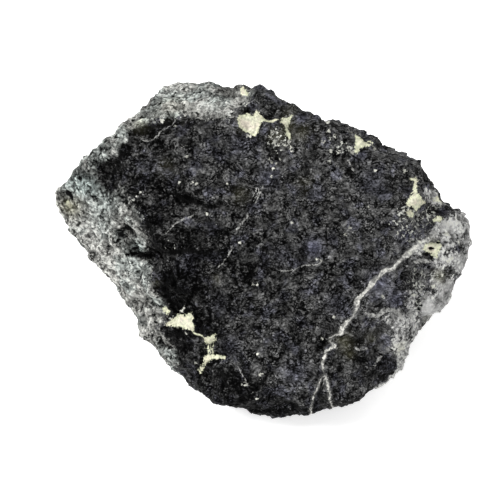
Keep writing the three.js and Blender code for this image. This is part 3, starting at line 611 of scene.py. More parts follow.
def nearest_lines(x, y, lines, ends):
    """For a family of lines: the signed distance to the nearest, and its half width there,
    tapering over a share of its length to its ends and negative away from it."""
    best = np.full(len(x), 9.0)
    half = np.full(len(x), -1.0)
    for width, line in lines:
        signed, along = beside_line(x, y, line)
        taper = smooth(along, 0, ends) * smooth(1 - along, 0, ends)
        own = width * (1.6 * taper - 0.6) - 2 * np.maximum(0, np.abs(signed) - LINE_REACH)
        nearer = np.abs(signed) < np.abs(best)
        half = np.where(nearer, own, half)
        best = np.where(nearer, signed, best)
    return best, np.maximum(half, -1.0)


def spread(x, y, spots):
    """A sum of soft spots: strength * exp(-(across / rx)^2 - (up / ry)^2) for each."""
    total = np.zeros(len(x))
    for cx, cy, rx, ry, strength in spots:
        total += strength * np.exp(-(((x - cx) / rx) ** 2) - ((y - cy) / ry) ** 2)
    return total


def round_spread(x, y, spots):
    """The same for round spots, each with one radius."""
    return spread(x, y, [(cx, cy, r, r, strength) for cx, cy, r, strength in spots])


# ---------------------------------------------------------------- the stone's form
def facet_normal(azimuth, elevation):
    """Outward normal of a plane: cos e cos a, cos e sin a, sin e."""
    a, e = math.radians(azimuth), math.radians(elevation)
    return np.array([math.cos(e) * math.cos(a), math.cos(e) * math.sin(a), math.sin(e)])


def rim_walls():
    """Each rim edge as the angle where it starts, its wall's outward normal and the wall's
    distance from the middle, sorted by angle."""
    walls = []
    for (ax, ay), (bx, by) in zip(RIM, RIM[1:] + RIM[:1]):
        length = math.hypot(bx - ax, by - ay)
        nx, ny = (by - ay) / length, (ax - bx) / length
        walls.append((math.atan2(ay, ax), nx, ny, nx * ax + ny * ay))
    return np.array(sorted(walls))


WALLS = rim_walls()


def rim_radius(angle):
    """The rim's distance from the middle at an angle in the face plane: the distance of
    that angle's wall over the cosine of the angle to its normal."""
    turn = np.arctan2(np.sin(angle), np.cos(angle))
    wall = WALLS[np.searchsorted(WALLS[:, 0], turn, side="right") - 1]
    return RIM_SPREAD * wall[:, 3] / (wall[:, 1] * np.cos(turn) + wall[:, 2] * np.sin(turn))


def all_facets():
    """Every flat of the stone as (normal, distance, is it the broken face). A side flat
    passes through the rim at its own azimuth, at its own height."""
    facets = [(facet_normal(a, e), d, True) for a, e, d in BROKEN]
    for azimuth, elevation, height in SIDES:
        e = math.radians(elevation)
        reach = rim_radius(np.array([math.radians(azimuth)]))[0]
        distance = reach * math.cos(e) + height * math.sin(e)
        facets.append((facet_normal(azimuth, elevation), distance, False))
    lean = math.radians(FACE_LEAN)
    down = np.array([0, -math.sin(lean), -math.cos(lean)])
    facets.append((down, UNDERSIDE_DEPTH, False))
    return facets


def faceted(d):
    """The smooth intersection of all the flats along directions d: radius is
    (sum of (n.d / h) ^ sharpness) ^ (-1 / sharpness). Gives points, the outward direction,
    the broken face's share and nearness to the rim. Outward is the same sum's gradient with
    the lower exponent OUTWARD_EASE, so that pits across a sharp edge don't fold it."""
    angle = np.arctan2(d[:, 1], d[:, 0])
    slope = d[:, 2] / np.maximum(np.hypot(d[:, 0], d[:, 1]), 1e-6)
    near = bell(slope, RIM_BAND)
    broad = sum(rim_radius(angle + math.radians(t)) for t in RIM_EASING) / len(RIM_EASING)
    wall_distance = broad + near * (rim_radius(angle) - broad)
    wall_normal = np.stack([np.cos(angle), np.sin(angle), np.zeros(len(d))], axis=1)
    total = np.zeros(len(d))
    fresh = np.zeros(len(d))
    outward = np.zeros_like(d)
    flats = [(n[None, :], h, b) for n, h, b in all_facets()]
    for n, h, broken in [*flats, (wall_normal, wall_distance, False)]:
        share = np.maximum((n * d).sum(axis=1) / h, 1e-9)
        part = share ** EDGE_SHARPNESS
        total += part
        if broken:
            fresh += part
        outward += (share ** (OUTWARD_EASE - 1) / h)[:, None] * n
    point = d * (total ** (-1 / EDGE_SHARPNESS))[:, None]
    outward /= np.linalg.norm(outward, axis=1, keepdims=True)
    return point, outward, fresh / total, near


def broken_height(x, y):
    """The broken face's height over each place: the lowest there of its flats."""
    heights = [(h - n[0] * x - n[1] * y) / n[2] for n, h, broken in all_facets() if broken]
    return np.min(heights, axis=0)


def relief(p, fresh, near):
    """How far the stone stands proud of its flats: noise and chips, less on the broken face,
    the broadest less beside the rim too, then its ledges, each a smooth step down whose foot
    rises back over its reach, and its lumps and pits, height * exp(-(distance / radius)^2)."""
    rough = 1 - FRESH_CALM * fresh
    broad = layers(noise, p, BROAD_SWELL) + layers(chips, p, BROAD_CHIPS)
    height = rough * (1 - RIM_CALM * near) * broad
    height += rough * (layers(chips, p, MIDDLE_CHIPS) + layers(noise, p, MIDDLE_SWELL))
    front = smooth(p[:, 2], 0, 8)
    for drop, reach, line in LEDGES:
        signed, along = beside_line(p[:, 0], p[:, 1], line)
        ends = smooth(along, 0, LEDGE_ENDS) * (1 - smooth(along, 1 - LEDGE_ENDS, 1))
        height -= front * ends * drop * smooth(signed, -0.5, 0.7) * (1 - smooth(signed, 1, reach))
    for x, y, z, radius, rise in LUMPS:
        away = (p[:, 0] - x) ** 2 + (p[:, 1] - y) ** 2 + (p[:, 2] - z) ** 2
        height += rise * np.exp(-away / (radius * radius))
    return height


# ---------------------------------------------------------------- markings as fields
def laid_out(p, outward, below):
    """Where each point is read in the front's layout: x and y as seen from SEEN_FROM over
    SEEN_OVER, and on a wall carried outward by as much as it lies below the broken face."""
    nearness = SEEN_FROM / (SEEN_FROM - p[:, 2])
    rear = smooth(outward[:, 1], 0.1, 0.5)
    over = smooth(-outward[:, 2], -0.3 - 0.2 * rear, 0.05 - 0.1 * rear) * below
    return [middle + (p[:, a] - middle) * nearness + outward[:, a] * over
            for a, middle in enumerate(SEEN_OVER)]


def markings(p, outward):
    """The stone's markings as smooth fields over its surface, in mm where they are
    distances and positive inside. Those laid out from the front fade on the rear walls, and
    further down broad noise lays out rind and fresh stone instead."""
    z = p[:, 2]
    below = np.maximum(0, broken_height(p[:, 0], p[:, 1]) - z)
    x, y = laid_out(p, outward, below)
    pushed = p + np.stack([layers(noise, p, [row]) for row in REAR_PUSH], axis=1)
    deep = smooth(-z, -6, 8)  # 0 on the front, rising down the walls
    wobble = layers(noise, p, EDGE_WOBBLE) + deep * layers(noise, p, WALL_WOBBLE)
    seen = smooth(z + layers(noise, p, FRONT_END), -8, -4)  # 1 on the front, 0 behind
    notch = round_spread(p[:, 0], p[:, 1], [NOTCH])
    behind = layers(noise, pushed, REAR_RIND) + layers(noise, p, REAR_RAG) + REAR_SHARE
    behind += NOTCH_RIND * notch
    front = z > FRONT_FLOOR
    fading = smooth(outward[:, 1], 0.1, 0.5) * smooth(below, 4, 9)
    hidden = np.where(front, -0.6 * fading, -2.0)
    drift = layers(noise, p, SHADE_DRIFT)
    waver = layers(noise, p, LINE_WAVER)
    rind = np.clip(wobble - inside_outline(x, y, FRESH_EDGE), -8, 8)
    pale = np.clip(wobble + inside_any(x, y, PALE_END, -6.0), -6, 6)
    cream = inside_any(x, y, CREAM, NOWHERE)
    bits = np.full(len(p), NOWHERE)
    for cx, cy, radius in BITS:
        bits = np.maximum(bits, radius - np.hypot(x - cx, y - cy))
    thread, thread_half = nearest_lines(x, y, THREADS, ends=0.3)
    hair, hair_half = nearest_lines(x + waver, y - waver, HAIRLINES, ends=0.1)
    crack, crack_half = nearest_lines(x + waver, y + waver, CRACKS, ends=0.4)
    vein, vein_half = nearest_lines(x, y, VEIN, ends=0.04)
    knots = round_spread(x, y, KNOTS) + layers(noise, p, VEIN_BEADS)
    vein_half += np.where(vein_half > -0.2, knots, 0)
    # The shade field: the ground's own tone and painted shade, from the SHADES spots.
    shade = np.clip(spread(x + drift, y - drift, SHADES), -1, 1)
    stains = 0.5 * smooth(noise(pushed, 7, 78), 0.3, 0.9) * smooth(behind, 0, 2)

    def both(ahead, rear=0.0):
        """The front's field where it is seen, the rear's elsewhere."""
        return seen * ahead + (1 - seen) * rear

    def held(spots, way):
        """A sum of spots, kept from 0 to 1."""
        return np.clip(way(x, y, spots), 0, 1)

    return {
        "rind": both(rind, behind),
        "pale": both(pale, np.minimum(behind, x - 22)),
        "cream": np.where(front, cream - fading * (1.6 + 1.6 * noise(p, 3, 94)), NOWHERE),
        "bits": np.where(front, bits - fading, NOWHERE),
        "thread": thread, "thread_half": thread_half + hidden,
        "vein": vein, "vein_half": np.where(front, vein_half, -1),
        "hair": hair, "hair_half": hair_half + hidden,
        "crack": crack, "crack_half": crack_half + hidden,
        # Behind, the shade field is random tone, with the notch painted lighter against its shade.
        "shade": both(shade, 0.5 * noise(p, 8, 77) - NOTCH_LIGHT * notch),
        "stain": both(held(STAINS, round_spread), stains),
        "flecks": both(held(FLECKS, round_spread), smooth(noise(p, 9, 79), 0, 0.8)),
        "blue": both(held(BLUES, round_spread)), "green": both(held(GREENS, round_spread)),
        "calm": both(held(CALMS, spread)), "hole": both(held(HOLES, spread)) * front,
    }


def fine_relief(p, marks):
    """The relief too fine for the solid: small chips and grains all over, sharper on the
    fresh stone and pitted on the rind, less on calm ground and infillings, with the vein's
    low ridge and its grooves, cracks and holes cut in, and the rim's small bumps."""
    rind = smooth(marks["rind"], -0.6, 0.6)
    pits = PIT_DEPTH * smooth(noise(p, 1.6, 74), 0.3, 0.75)
    fresh_grain, rind_grain = layers(chips, p, FRESH_GRAIN), layers(chips, p, RIND_GRAIN)
    height = (1 - rind) * fresh_grain + rind * (rind_grain - pits)
    height = height * (1 - 0.6 * marks["calm"])
    cream = smooth(marks["cream"], -0.4, 0.4)
    height = height * (1 - 0.75 * cream) - CREAM_DEPTH * cream
    ridge = bell(marks["vein"], 0.6) * smooth(marks["vein_half"], -0.1, 0.25)
    groove = bell(np.abs(marks["vein"]) - 1.2, 0.5) * (marks["vein_half"] > -0.9)
    height = height * (1 - 0.4 * ridge) + VEIN_RISE * ridge - GROOVE_DEPTH * groove
    height -= CRACK_DEPTH * bell(marks["crack"], 0.5) * smooth(marks["crack_half"], -0.1, 0.2)
    at_rim = smooth(p[:, 2], -12, -4) * (1 - smooth(p[:, 2], 12, 20))
    bumps = round_spread(p[:, 0], p[:, 1], EDGE_BUMPS)
    return height + at_rim * bumps - HOLE_DEPTH * marks["hole"]


# ---------------------------------------------------------------- the closed grid
def box_grid():
    """Points, four-sided faces and bake-map corners of a grid on a box's six sides. A point
    on an edge or corner is shared, so the surface is closed. Each side has a tile of its own
    in the map."""
    nx, ny, nz = GRID_STEPS
    i, j, k = np.meshgrid(np.arange(nx + 1), np.arange(ny + 1), np.arange(nz + 1), indexing="ij")
    outer = (i == 0) | (i == nx) | (j == 0) | (j == ny) | (k == 0) | (k == nz)
    number = np.full(i.shape, -1)
    number[outer] = np.arange(outer.sum())
    steps = np.stack([i[outer], j[outer], k[outer]], axis=1) / np.array([nx, ny, nz])
    points = (2 * steps - 1) * np.array(GRID_HALF)
    rows = [0, ny + TILE_GAP, ny + nz + 2 * TILE_GAP]
    tiles = [  # the side's points, its place in the map, and whether it is turned over
        (number[:, :, nz], (0, rows[0]), False), (number[:, :, 0], (nx + TILE_GAP, rows[0]), True),
        (number[:, ny, :], (0, rows[1]), True), (number[:, 0, :], (nx + TILE_GAP, rows[1]), False),
        (number[nx, :, :], (0, rows[2]), False), (number[0, :, :], (ny + TILE_GAP, rows[2]), True),
    ]
    faces, corners = [], []
    for ids, (left, low), flip in tiles:
        a, b = np.meshgrid(np.arange(ids.shape[0] - 1), np.arange(ids.shape[1] - 1), indexing="ij")
        a, b = a.ravel(), b.ravel()
        ring = [(0, 0), (1, 0), (1, 1), (0, 1)]
        if flip:
            ring = ring[::-1]
        faces.append(np.stack([ids[a + u, b + v] for u, v in ring], axis=1))
        across = ids.shape[0] - 1 if flip else 0
        way = -1 if flip else 1
        place = [np.stack([left + across + way * (a + u), low + b + v], axis=1) for u, v in ring]
        corners.append(np.stack(place, axis=1))
    width = 2 * nx + TILE_GAP + 2.0  # of the whole map, with a step of margin all round
    uv = (np.concatenate(corners).reshape(-1, 2) + 1.0) / width
    return points, np.concatenate(faces), uv


def stone():
    """The lump's surface: each grid point's direction is carried out to the facets, then
    outward by the relief, turned back by FACE_LEAN and set on its flat underside, whose
    small chips rise from the floor's plane. Gives points in metres, faces, bake-map corners,
    markings, and the inner point's place in metres."""
    domain, faces, uv = box_grid()
    direction = domain / np.linalg.norm(domain, axis=1, keepdims=True)
    base, outward, fresh, near = faceted(direction)
    broad = base + outward * relief(base, fresh, near)[:, None]
    marks = markings(broad, outward)
    fine = fine_relief(broad, marks)
    # The fine relief's depth, by which the finishes paint shade into hollows and light onto tops.
    marks["hollow"] = -fine
    finished = broad + outward * fine[:, None]
    lean = math.radians(FACE_LEAN)
    cos, sin = math.cos(lean), math.sin(lean)
    turn = np.array([[1, 0, 0], [0, cos, -sin], [0, sin, cos]])
    floor = UNDERSIDE_CUT - UNDERSIDE_DEPTH
    outline = broad @ turn.T
    lowest, highest = outline.min(axis=0), outline.max(axis=0)
    placed = finished @ turn.T
    resting = np.maximum(0, layers(chips, base, RESTING_CHIPS))
    placed[:, 2] = np.maximum(placed[:, 2], floor + resting)
    inner = -np.array([(lowest[0] + highest[0]) / 2, (lowest[1] + highest[1]) / 2, floor])
    return (placed + inner) * MM, faces, uv, marks, inner * MM


def added(name, data):
    """A new object in the scene, at the origin and unturned, that shows this data."""
    thing = bpy.data.objects.new(name, data)
    bpy.context.scene.collection.objects.link(thing)
    return thing


def make_stone():
    """The stone as a mesh object, with its markings as attributes and its bake map. Gives
    the place of its inner point too."""
    points, faces, uv, marks, inner = stone()
    mesh = bpy.data.meshes.new("chromite_stone")
    mesh.from_pydata(points.tolist(), [], faces.tolist())
    mesh.update()
    layer = mesh.uv_layers.new(name="OFBake")
    layer.data.foreach_set("uv", uv.astype(np.float32).ravel())
    for name, values in marks.items():
        field = mesh.attributes.new(name, "FLOAT", "POINT")
        field.data.foreach_set("value", values.astype(np.float32))
    mesh.polygons.foreach_set("use_smooth", np.ones(len(faces), bool))
    return added("chromite_stone", mesh), inner


# ---------------------------------------------------------------- finishes
# Perceived lightness of each ground, 0 to 1, before it is shaded and broken up.
FRESH_LEVEL = 0.35
RIND_LEVEL = 0.71
PALE_LEVEL = 0.79
LEVEL_POWER = 2.2  # from perceived lightness to reflectance
DARKEST_LEVEL = 0.02
LIGHTENING, DARKENING = 0.34, 0.72  # share of a ground's level at full shade, each way

FRESH_TINTS = ((1.0, 1.0, 0.99), (0.93, 0.95, 1.3))  # plain, blue-violet
RIND_TINTS = ((1.0, 1.0, 0.94), (0.86, 0.99, 0.95))  # plain, green
PALE_TINT = (1.0, 1.0, 0.98)
GROUND_LIMIT = (0.72, 0.72, 0.68)  # the lightest that grounds get
STAIN_TINT, STAIN_LIFT = (0.9, 0.88, 0.65), (0.06, 0.058, 0.036)
FLECK_COLOUR = (0.7, 0.71, 0.65)
BIT_COLOUR = (0.76, 0.76, 0.68)
CREAMS = ((0.78, 0.77, 0.6), (0.79, 0.72, 0.6))  # plain, flushed
CREAM_RIM = (0.7, 0.73, 0.5)
CREAM_LIMIT = (0.9, 0.9, 0.84)
VEIN_COLOURS = ((0.33, 0.33, 0.31), (0.76, 0.75, 0.7))  # dark and light grains of the vein
# Painted shade along both sides of the vein's low ridge
VEIN_SIDE_SHADE = (0.13, 0.13, 0.125)
HAIR_COLOUR = (0.46, 0.46, 0.44)
# Black painted into cracks and holes for the shade that lies in them
SHADOW_BLACK = (0.004, 0.004, 0.004)
GLOSS_LEVEL = 0.03
DULL_ROUGHNESS = 0.85
BUMP_HEIGHT = 0.0004  # metres


class Finish:
    """A material's nodes, from short calls that each give an output socket."""

    def __init__(self, name):
        """A new material of that name with its plain shader."""
        self.material = bpy.data.materials.new(name)
        self.material.use_nodes = True
        self.tree = self.material.node_tree
        self.shader = self.tree.nodes["Principled BSDF"]

    def put(self, socket, value):
        """Links a socket's value, or sets a plain one; three numbers make a colour."""
        if isinstance(value, bpy.types.NodeSocket):
            self.tree.links.new(value, socket)
        elif isinstance(value, tuple) and len(value) == 3 and socket.type == "RGBA":
            socket.default_value = (*value, 1)
        else:
            socket.default_value = value

    def node(self, kind, inputs=(), **settings):
        """A new node with its settings and inputs."""
        made = self.tree.nodes.new(kind)
        for key, value in settings.items():
            setattr(made, key, value)
        for key, value in dict(inputs).items():
            self.put(made.inputs[key], value)
        return made

    def field(self, name):
        """One of the mesh's own fields."""
        return self.node("ShaderNodeAttribute", attribute_name=name).outputs["Fac"]

    def math(self, operation, a, b=0.0, c=0.0):
        """A sum on one to three values."""
        return self.node("ShaderNodeMath", {0: a, 1: b, 2: c}, operation=operation).outputs[0]

    def times(self, a, b):
        """a * b."""
        return self.math("MULTIPLY", a, b)

    def plus(self, total, share, amount):
        """total + share * amount."""
        return self.math("MULTIPLY_ADD", share, amount, total)

    def most(self, a, b):
        """The greater of two."""
        return self.math("MAXIMUM", a, b)

    def ramp(self, value, low, high, start=0.0, end=1.0):
        """start below low, end above high, and smooth between."""
        inputs = {"Value": value, "From Min": low, "From Max": high, "To Min": start, "To Max": end}
        return self.node("ShaderNodeMapRange", inputs, interpolation_type="SMOOTHSTEP").outputs[0]

    def mix(self, share, a, b):
        """a * (1 - share) + b * share, as colours."""
        made = self.node("ShaderNodeMix", data_type="RGBA")
        for socket, value in zip((made.inputs[0], made.inputs[6], made.inputs[7]), (share, a, b)):
            self.put(socket, value)
        return made.outputs[2]

    def scaled(self, colour, amount):
        """A colour times one number."""
        made = self.node("ShaderNodeVectorMath", {0: colour}, operation="SCALE")
        self.put(made.inputs["Scale"], amount)
        return made.outputs[0]

    def vector(self, operation, a, b):
        """A sum on two vectors or colours."""
        return self.node("ShaderNodeVectorMath", {0: a, 1: b}, operation=operation).outputs[0]

    def cloud(self, where, scale, detail=2.0, roughness=0.5, distortion=0.0):
        """Soft noise from 0 to 1, scale lumps to the millimetre."""
        inputs = {"Vector": where, "Scale": scale, "Detail": detail, "Roughness": roughness,
                  "Distortion": distortion}
        return self.node("ShaderNodeTexNoise", inputs).outputs["Fac"]

    def ripple(self, where, scale):
        """Ragged noise about 0, for edges broken up at the size of a grain."""
        return self.math("SUBTRACT", self.cloud(where, scale, 3.0, 0.65), 0.5)

    def grains(self, where, scale):
        """A random value for each grain of a cell pattern, scale cells to the millimetre."""
        cells = self.node("ShaderNodeTexVoronoi", {"Vector": where, "Scale": scale})
        return self.node("ShaderNodeSeparateColor", {0: cells.outputs["Color"]}).outputs[0]

    def grain_edge(self, where, scale, width):
        """1 on the edges of the same cells, falling to 0 at width inside them."""
        cells = self.node("ShaderNodeTexVoronoi", {"Vector": where, "Scale": scale},
                          feature="DISTANCE_TO_EDGE")
        return self.ramp(cells.outputs["Distance"], 0.0, width, 1.0, 0.0)

    def warped(self, where, scale, reach):
        """The same place pushed about by a cloud, up to half the reach each way."""
        push = self.node("ShaderNodeTexNoise", {"Vector": where, "Scale": scale}).outputs["Color"]
        push = self.vector("SUBTRACT", push, (0.5, 0.5, 0.5))
        return self.vector("ADD", where, self.scaled(push, reach))

    def moved(self, where, step):
        """The same place carried off along one direction, for a cloud unlike the first."""
        return self.vector("ADD", where, (step, 1.7 * step, 0.6 * step))

    def squiggle(self, where, scale, width):
        """1 along fine wandering lines, where a cloud crosses its own middle."""
        cloud = self.cloud(where, scale, 1.0, 0.5, 0.3)
        away = self.math("ABSOLUTE", self.math("SUBTRACT", cloud, 0.5))
        return self.ramp(away, 0.3 * width, width, 1.0, 0.0)

    def level(self, middle, swings):
        """A perceived lightness: the middle, plus each cloud's departure from a half times
        its own swing."""
        total = middle - sum(swing for swing, _ in swings) / 2
        for swing, cloud in swings:
            total = self.plus(total, cloud, swing)
        return total

    def toned(self, tint, level, middle, shade):
        """A tint at a perceived lightness: the level, lowered or raised by a share of its middle by
        the shade field, which is partly the ground's own tone and partly painted shade, to the
        power LEVEL_POWER, scales the tint."""
        level = self.most(self.plus(level, shade, middle), DARKEST_LEVEL)
        return self.scaled(tint, self.math("POWER", level, LEVEL_POWER))


def fresh_chromite(f, here, shade):
    """Charcoal grey plates: a middling level swung by plate, grain and clouds, then darker along
    the plates' edges and fine squiggles, between grains and in pits, and lighter on crumbs. Painted
    shade darkens the hollows of the fine relief and painted light lifts its tops. Gives its colour,
    its grains and its height for the bump."""
    plate_size, grain_size = 0.62, 1.35  # plates and grains to the millimetre
    swirled = f.warped(here, 0.22, 3.0)
    broken = f.warped(f.warped(here, 0.5, 1.6), 1.6, 0.7)
    plate = f.grains(broken, plate_size)
    joint = f.grain_edge(broken, plate_size, 0.11)
    strokes = f.vector("MULTIPLY", swirled, (0.8, 1.2, 1.0))
    shaken = f.warped(here, 1.4, 0.6)
    grain = f.grains(shaken, grain_size)
    gap = f.grain_edge(shaken, grain_size, 0.12)
    cuts = f.most(f.squiggle(strokes, 1.0, 0.06), f.squiggle(f.moved(here, 31), 1.5, 0.045))
    pits = f.ramp(f.cloud(f.moved(strokes, 43), 1.6), 0.33, 0.41, 1.0, 0.0)
    crumbs = f.ramp(f.cloud(f.moved(strokes, 17), 1.7, 3.0, 0.6), 0.57, 0.72)
    busy = f.ramp(f.cloud(f.moved(swirled, 29), 0.4), 0.36, 0.62, 0.35, 1.25)
    busy = f.times(busy, f.ramp(f.field("blue"), 0, 1, 1.0, 0.4))
    level = f.level(FRESH_LEVEL, [
        (0.54, f.cloud(f.moved(strokes, 7), 2.3, 1.0, 0.4)), (0.12, f.cloud(strokes, 0.7)),
        (0.12, f.cloud(f.moved(swirled, 3), 0.3)), (0.08, f.cloud(here, 0.13)), (0.08, grain),
        (0.08, plate),
    ])
    for share, depth in ((cuts, -0.18), (gap, -0.09), (joint, -0.18), (pits, -0.24), (crumbs, 0.1)):
        level = f.plus(level, f.times(share, busy), depth)
    # Painted shade in the fine relief's hollows and painted light on its tops
    level = f.times(level, f.ramp(f.field("hollow"), -0.4, 0.45, 1.12, 0.7))
    blue = f.most(f.ramp(f.cloud(f.moved(here, 5), 0.3), 0.5, 0.66, 0.0, 0.5), f.field("blue"))
    height = f.plus(f.times(f.math("ADD", gap, cuts), -0.25), pits, -0.25)
    return f.toned(f.mix(blue, *FRESH_TINTS), level, FRESH_LEVEL, shade), grain, height


def weathered_marks(f, here):
    """What rind and pale rock share: wandering dark lines and peppery dark grains, both
    less on calm ground."""
    wormy = f.warped(here, 1.0, 0.9)
    worms = f.most(f.squiggle(wormy, 1.05, 0.09), f.squiggle(f.moved(wormy, 23), 1.7, 0.06))
    pepper = f.ramp(f.cloud(f.moved(wormy, 9), 1.1, 2.0, 0.5), 0.57, 0.66)
    lively = f.math("SUBTRACT", 1.0, f.field("calm"))
    return f.times(worms, lively), f.times(pepper, lively)


def rind_stone(f, here, shade, worms, pepper):
    """Light grey: a level swung by clouds of three sizes, with dark lines and pepper, a green cast
    in places, and painted shade in the hollows of the fine relief, with painted light on its tops."""
    level = f.level(RIND_LEVEL, [
        (1.0, f.cloud(here, 1.5, 1.0, 0.5)), (0.5, f.cloud(f.moved(here, 27), 0.5, 2.0, 0.55)),
        (0.4, f.cloud(f.moved(here, 37), 0.16)),
    ])
    worn = f.ramp(f.cloud(here, 0.45), 0.34, 0.6, 0.3, 1.0)
    level = f.plus(f.plus(level, f.times(worms, worn), -0.26), pepper, -0.36)
    # Painted shade in the fine relief's hollows and painted light on its tops
    level = f.times(level, f.ramp(f.field("hollow"), -0.3, 0.4, 1.06, 0.66))
    green = f.most(f.ramp(f.cloud(f.moved(here, 13), 0.17), 0.46, 0.64, 0.0, 0.5), f.field("green"))
    return f.toned(f.mix(green, *RIND_TINTS), level, RIND_LEVEL, shade)


def pale_rock(f, here, shade, worms, pepper):
    """Smooth light grey, smoky, with sparse dark grains and faint lines. Calm ground is
    drawn 0.7 of the way back to the middle level."""
    level = f.level(PALE_LEVEL, [
        (0.5, f.cloud(f.moved(here, 3), 0.45, 2.0, 0.5)),
        (1.0, f.cloud(f.moved(here, 33), 1.8, 1.0, 0.5)),
    ])
    level = f.plus(f.plus(level, worms, -0.2), pepper, -0.4)
    # Painted shade in the fine relief's hollows and painted light on its tops
    level = f.times(level, f.ramp(f.field("hollow"), -0.3, 0.4, 1.08, 0.66))
    back = f.math("SUBTRACT", PALE_LEVEL, level)
    level = f.plus(level, f.times(f.field("calm"), 0.7), back)
    return f.toned(PALE_TINT, level, PALE_LEVEL, shade)


def line_share(f, ripple, name, widen, shake):
    """1 within a line's half width, widened, and 0 outside, its edge shaken by the ripple."""
    away = f.math("ABSOLUTE", f.plus(f.field(name), ripple, shake))
    inside = f.math("SUBTRACT", f.field(name + "_half"), away)
    return f.ramp(f.math("ADD", inside, widen), -0.09, 0.07)


def cream_infilling(f, here, ripple):
    """Cream, flushed in patches, greener towards its edge, with mottled and stained places, and
    brighter where the shade field lightens the ground, partly painted light on creams turned from
    the lamp. The scaled light never passes CREAM_LIMIT."""
    cream = f.mix(f.ramp(f.cloud(f.moved(here, 2), 0.45), 0.48, 0.62), *CREAMS)
    rimmed = f.ramp(f.plus(f.field("cream"), ripple, 2.0), 0.1, 0.7, 0.55, 0.0)
    cream = f.mix(rimmed, cream, CREAM_RIM)
    for amount in (
        f.ramp(f.cloud(here, 1.7, 2.0, 0.6), 0.34, 0.6, 0.7, 1.02),
        f.ramp(f.field("stain"), 0, 1, 1.0, 0.5),
        # brighter where the shade field lightens the ground: partly painted light
        f.ramp(f.field("shade"), -0.9, -0.2, 1.3, 1.0),
    ):
        cream = f.scaled(cream, amount)
    return f.vector("MINIMUM", cream, CREAM_LIMIT)


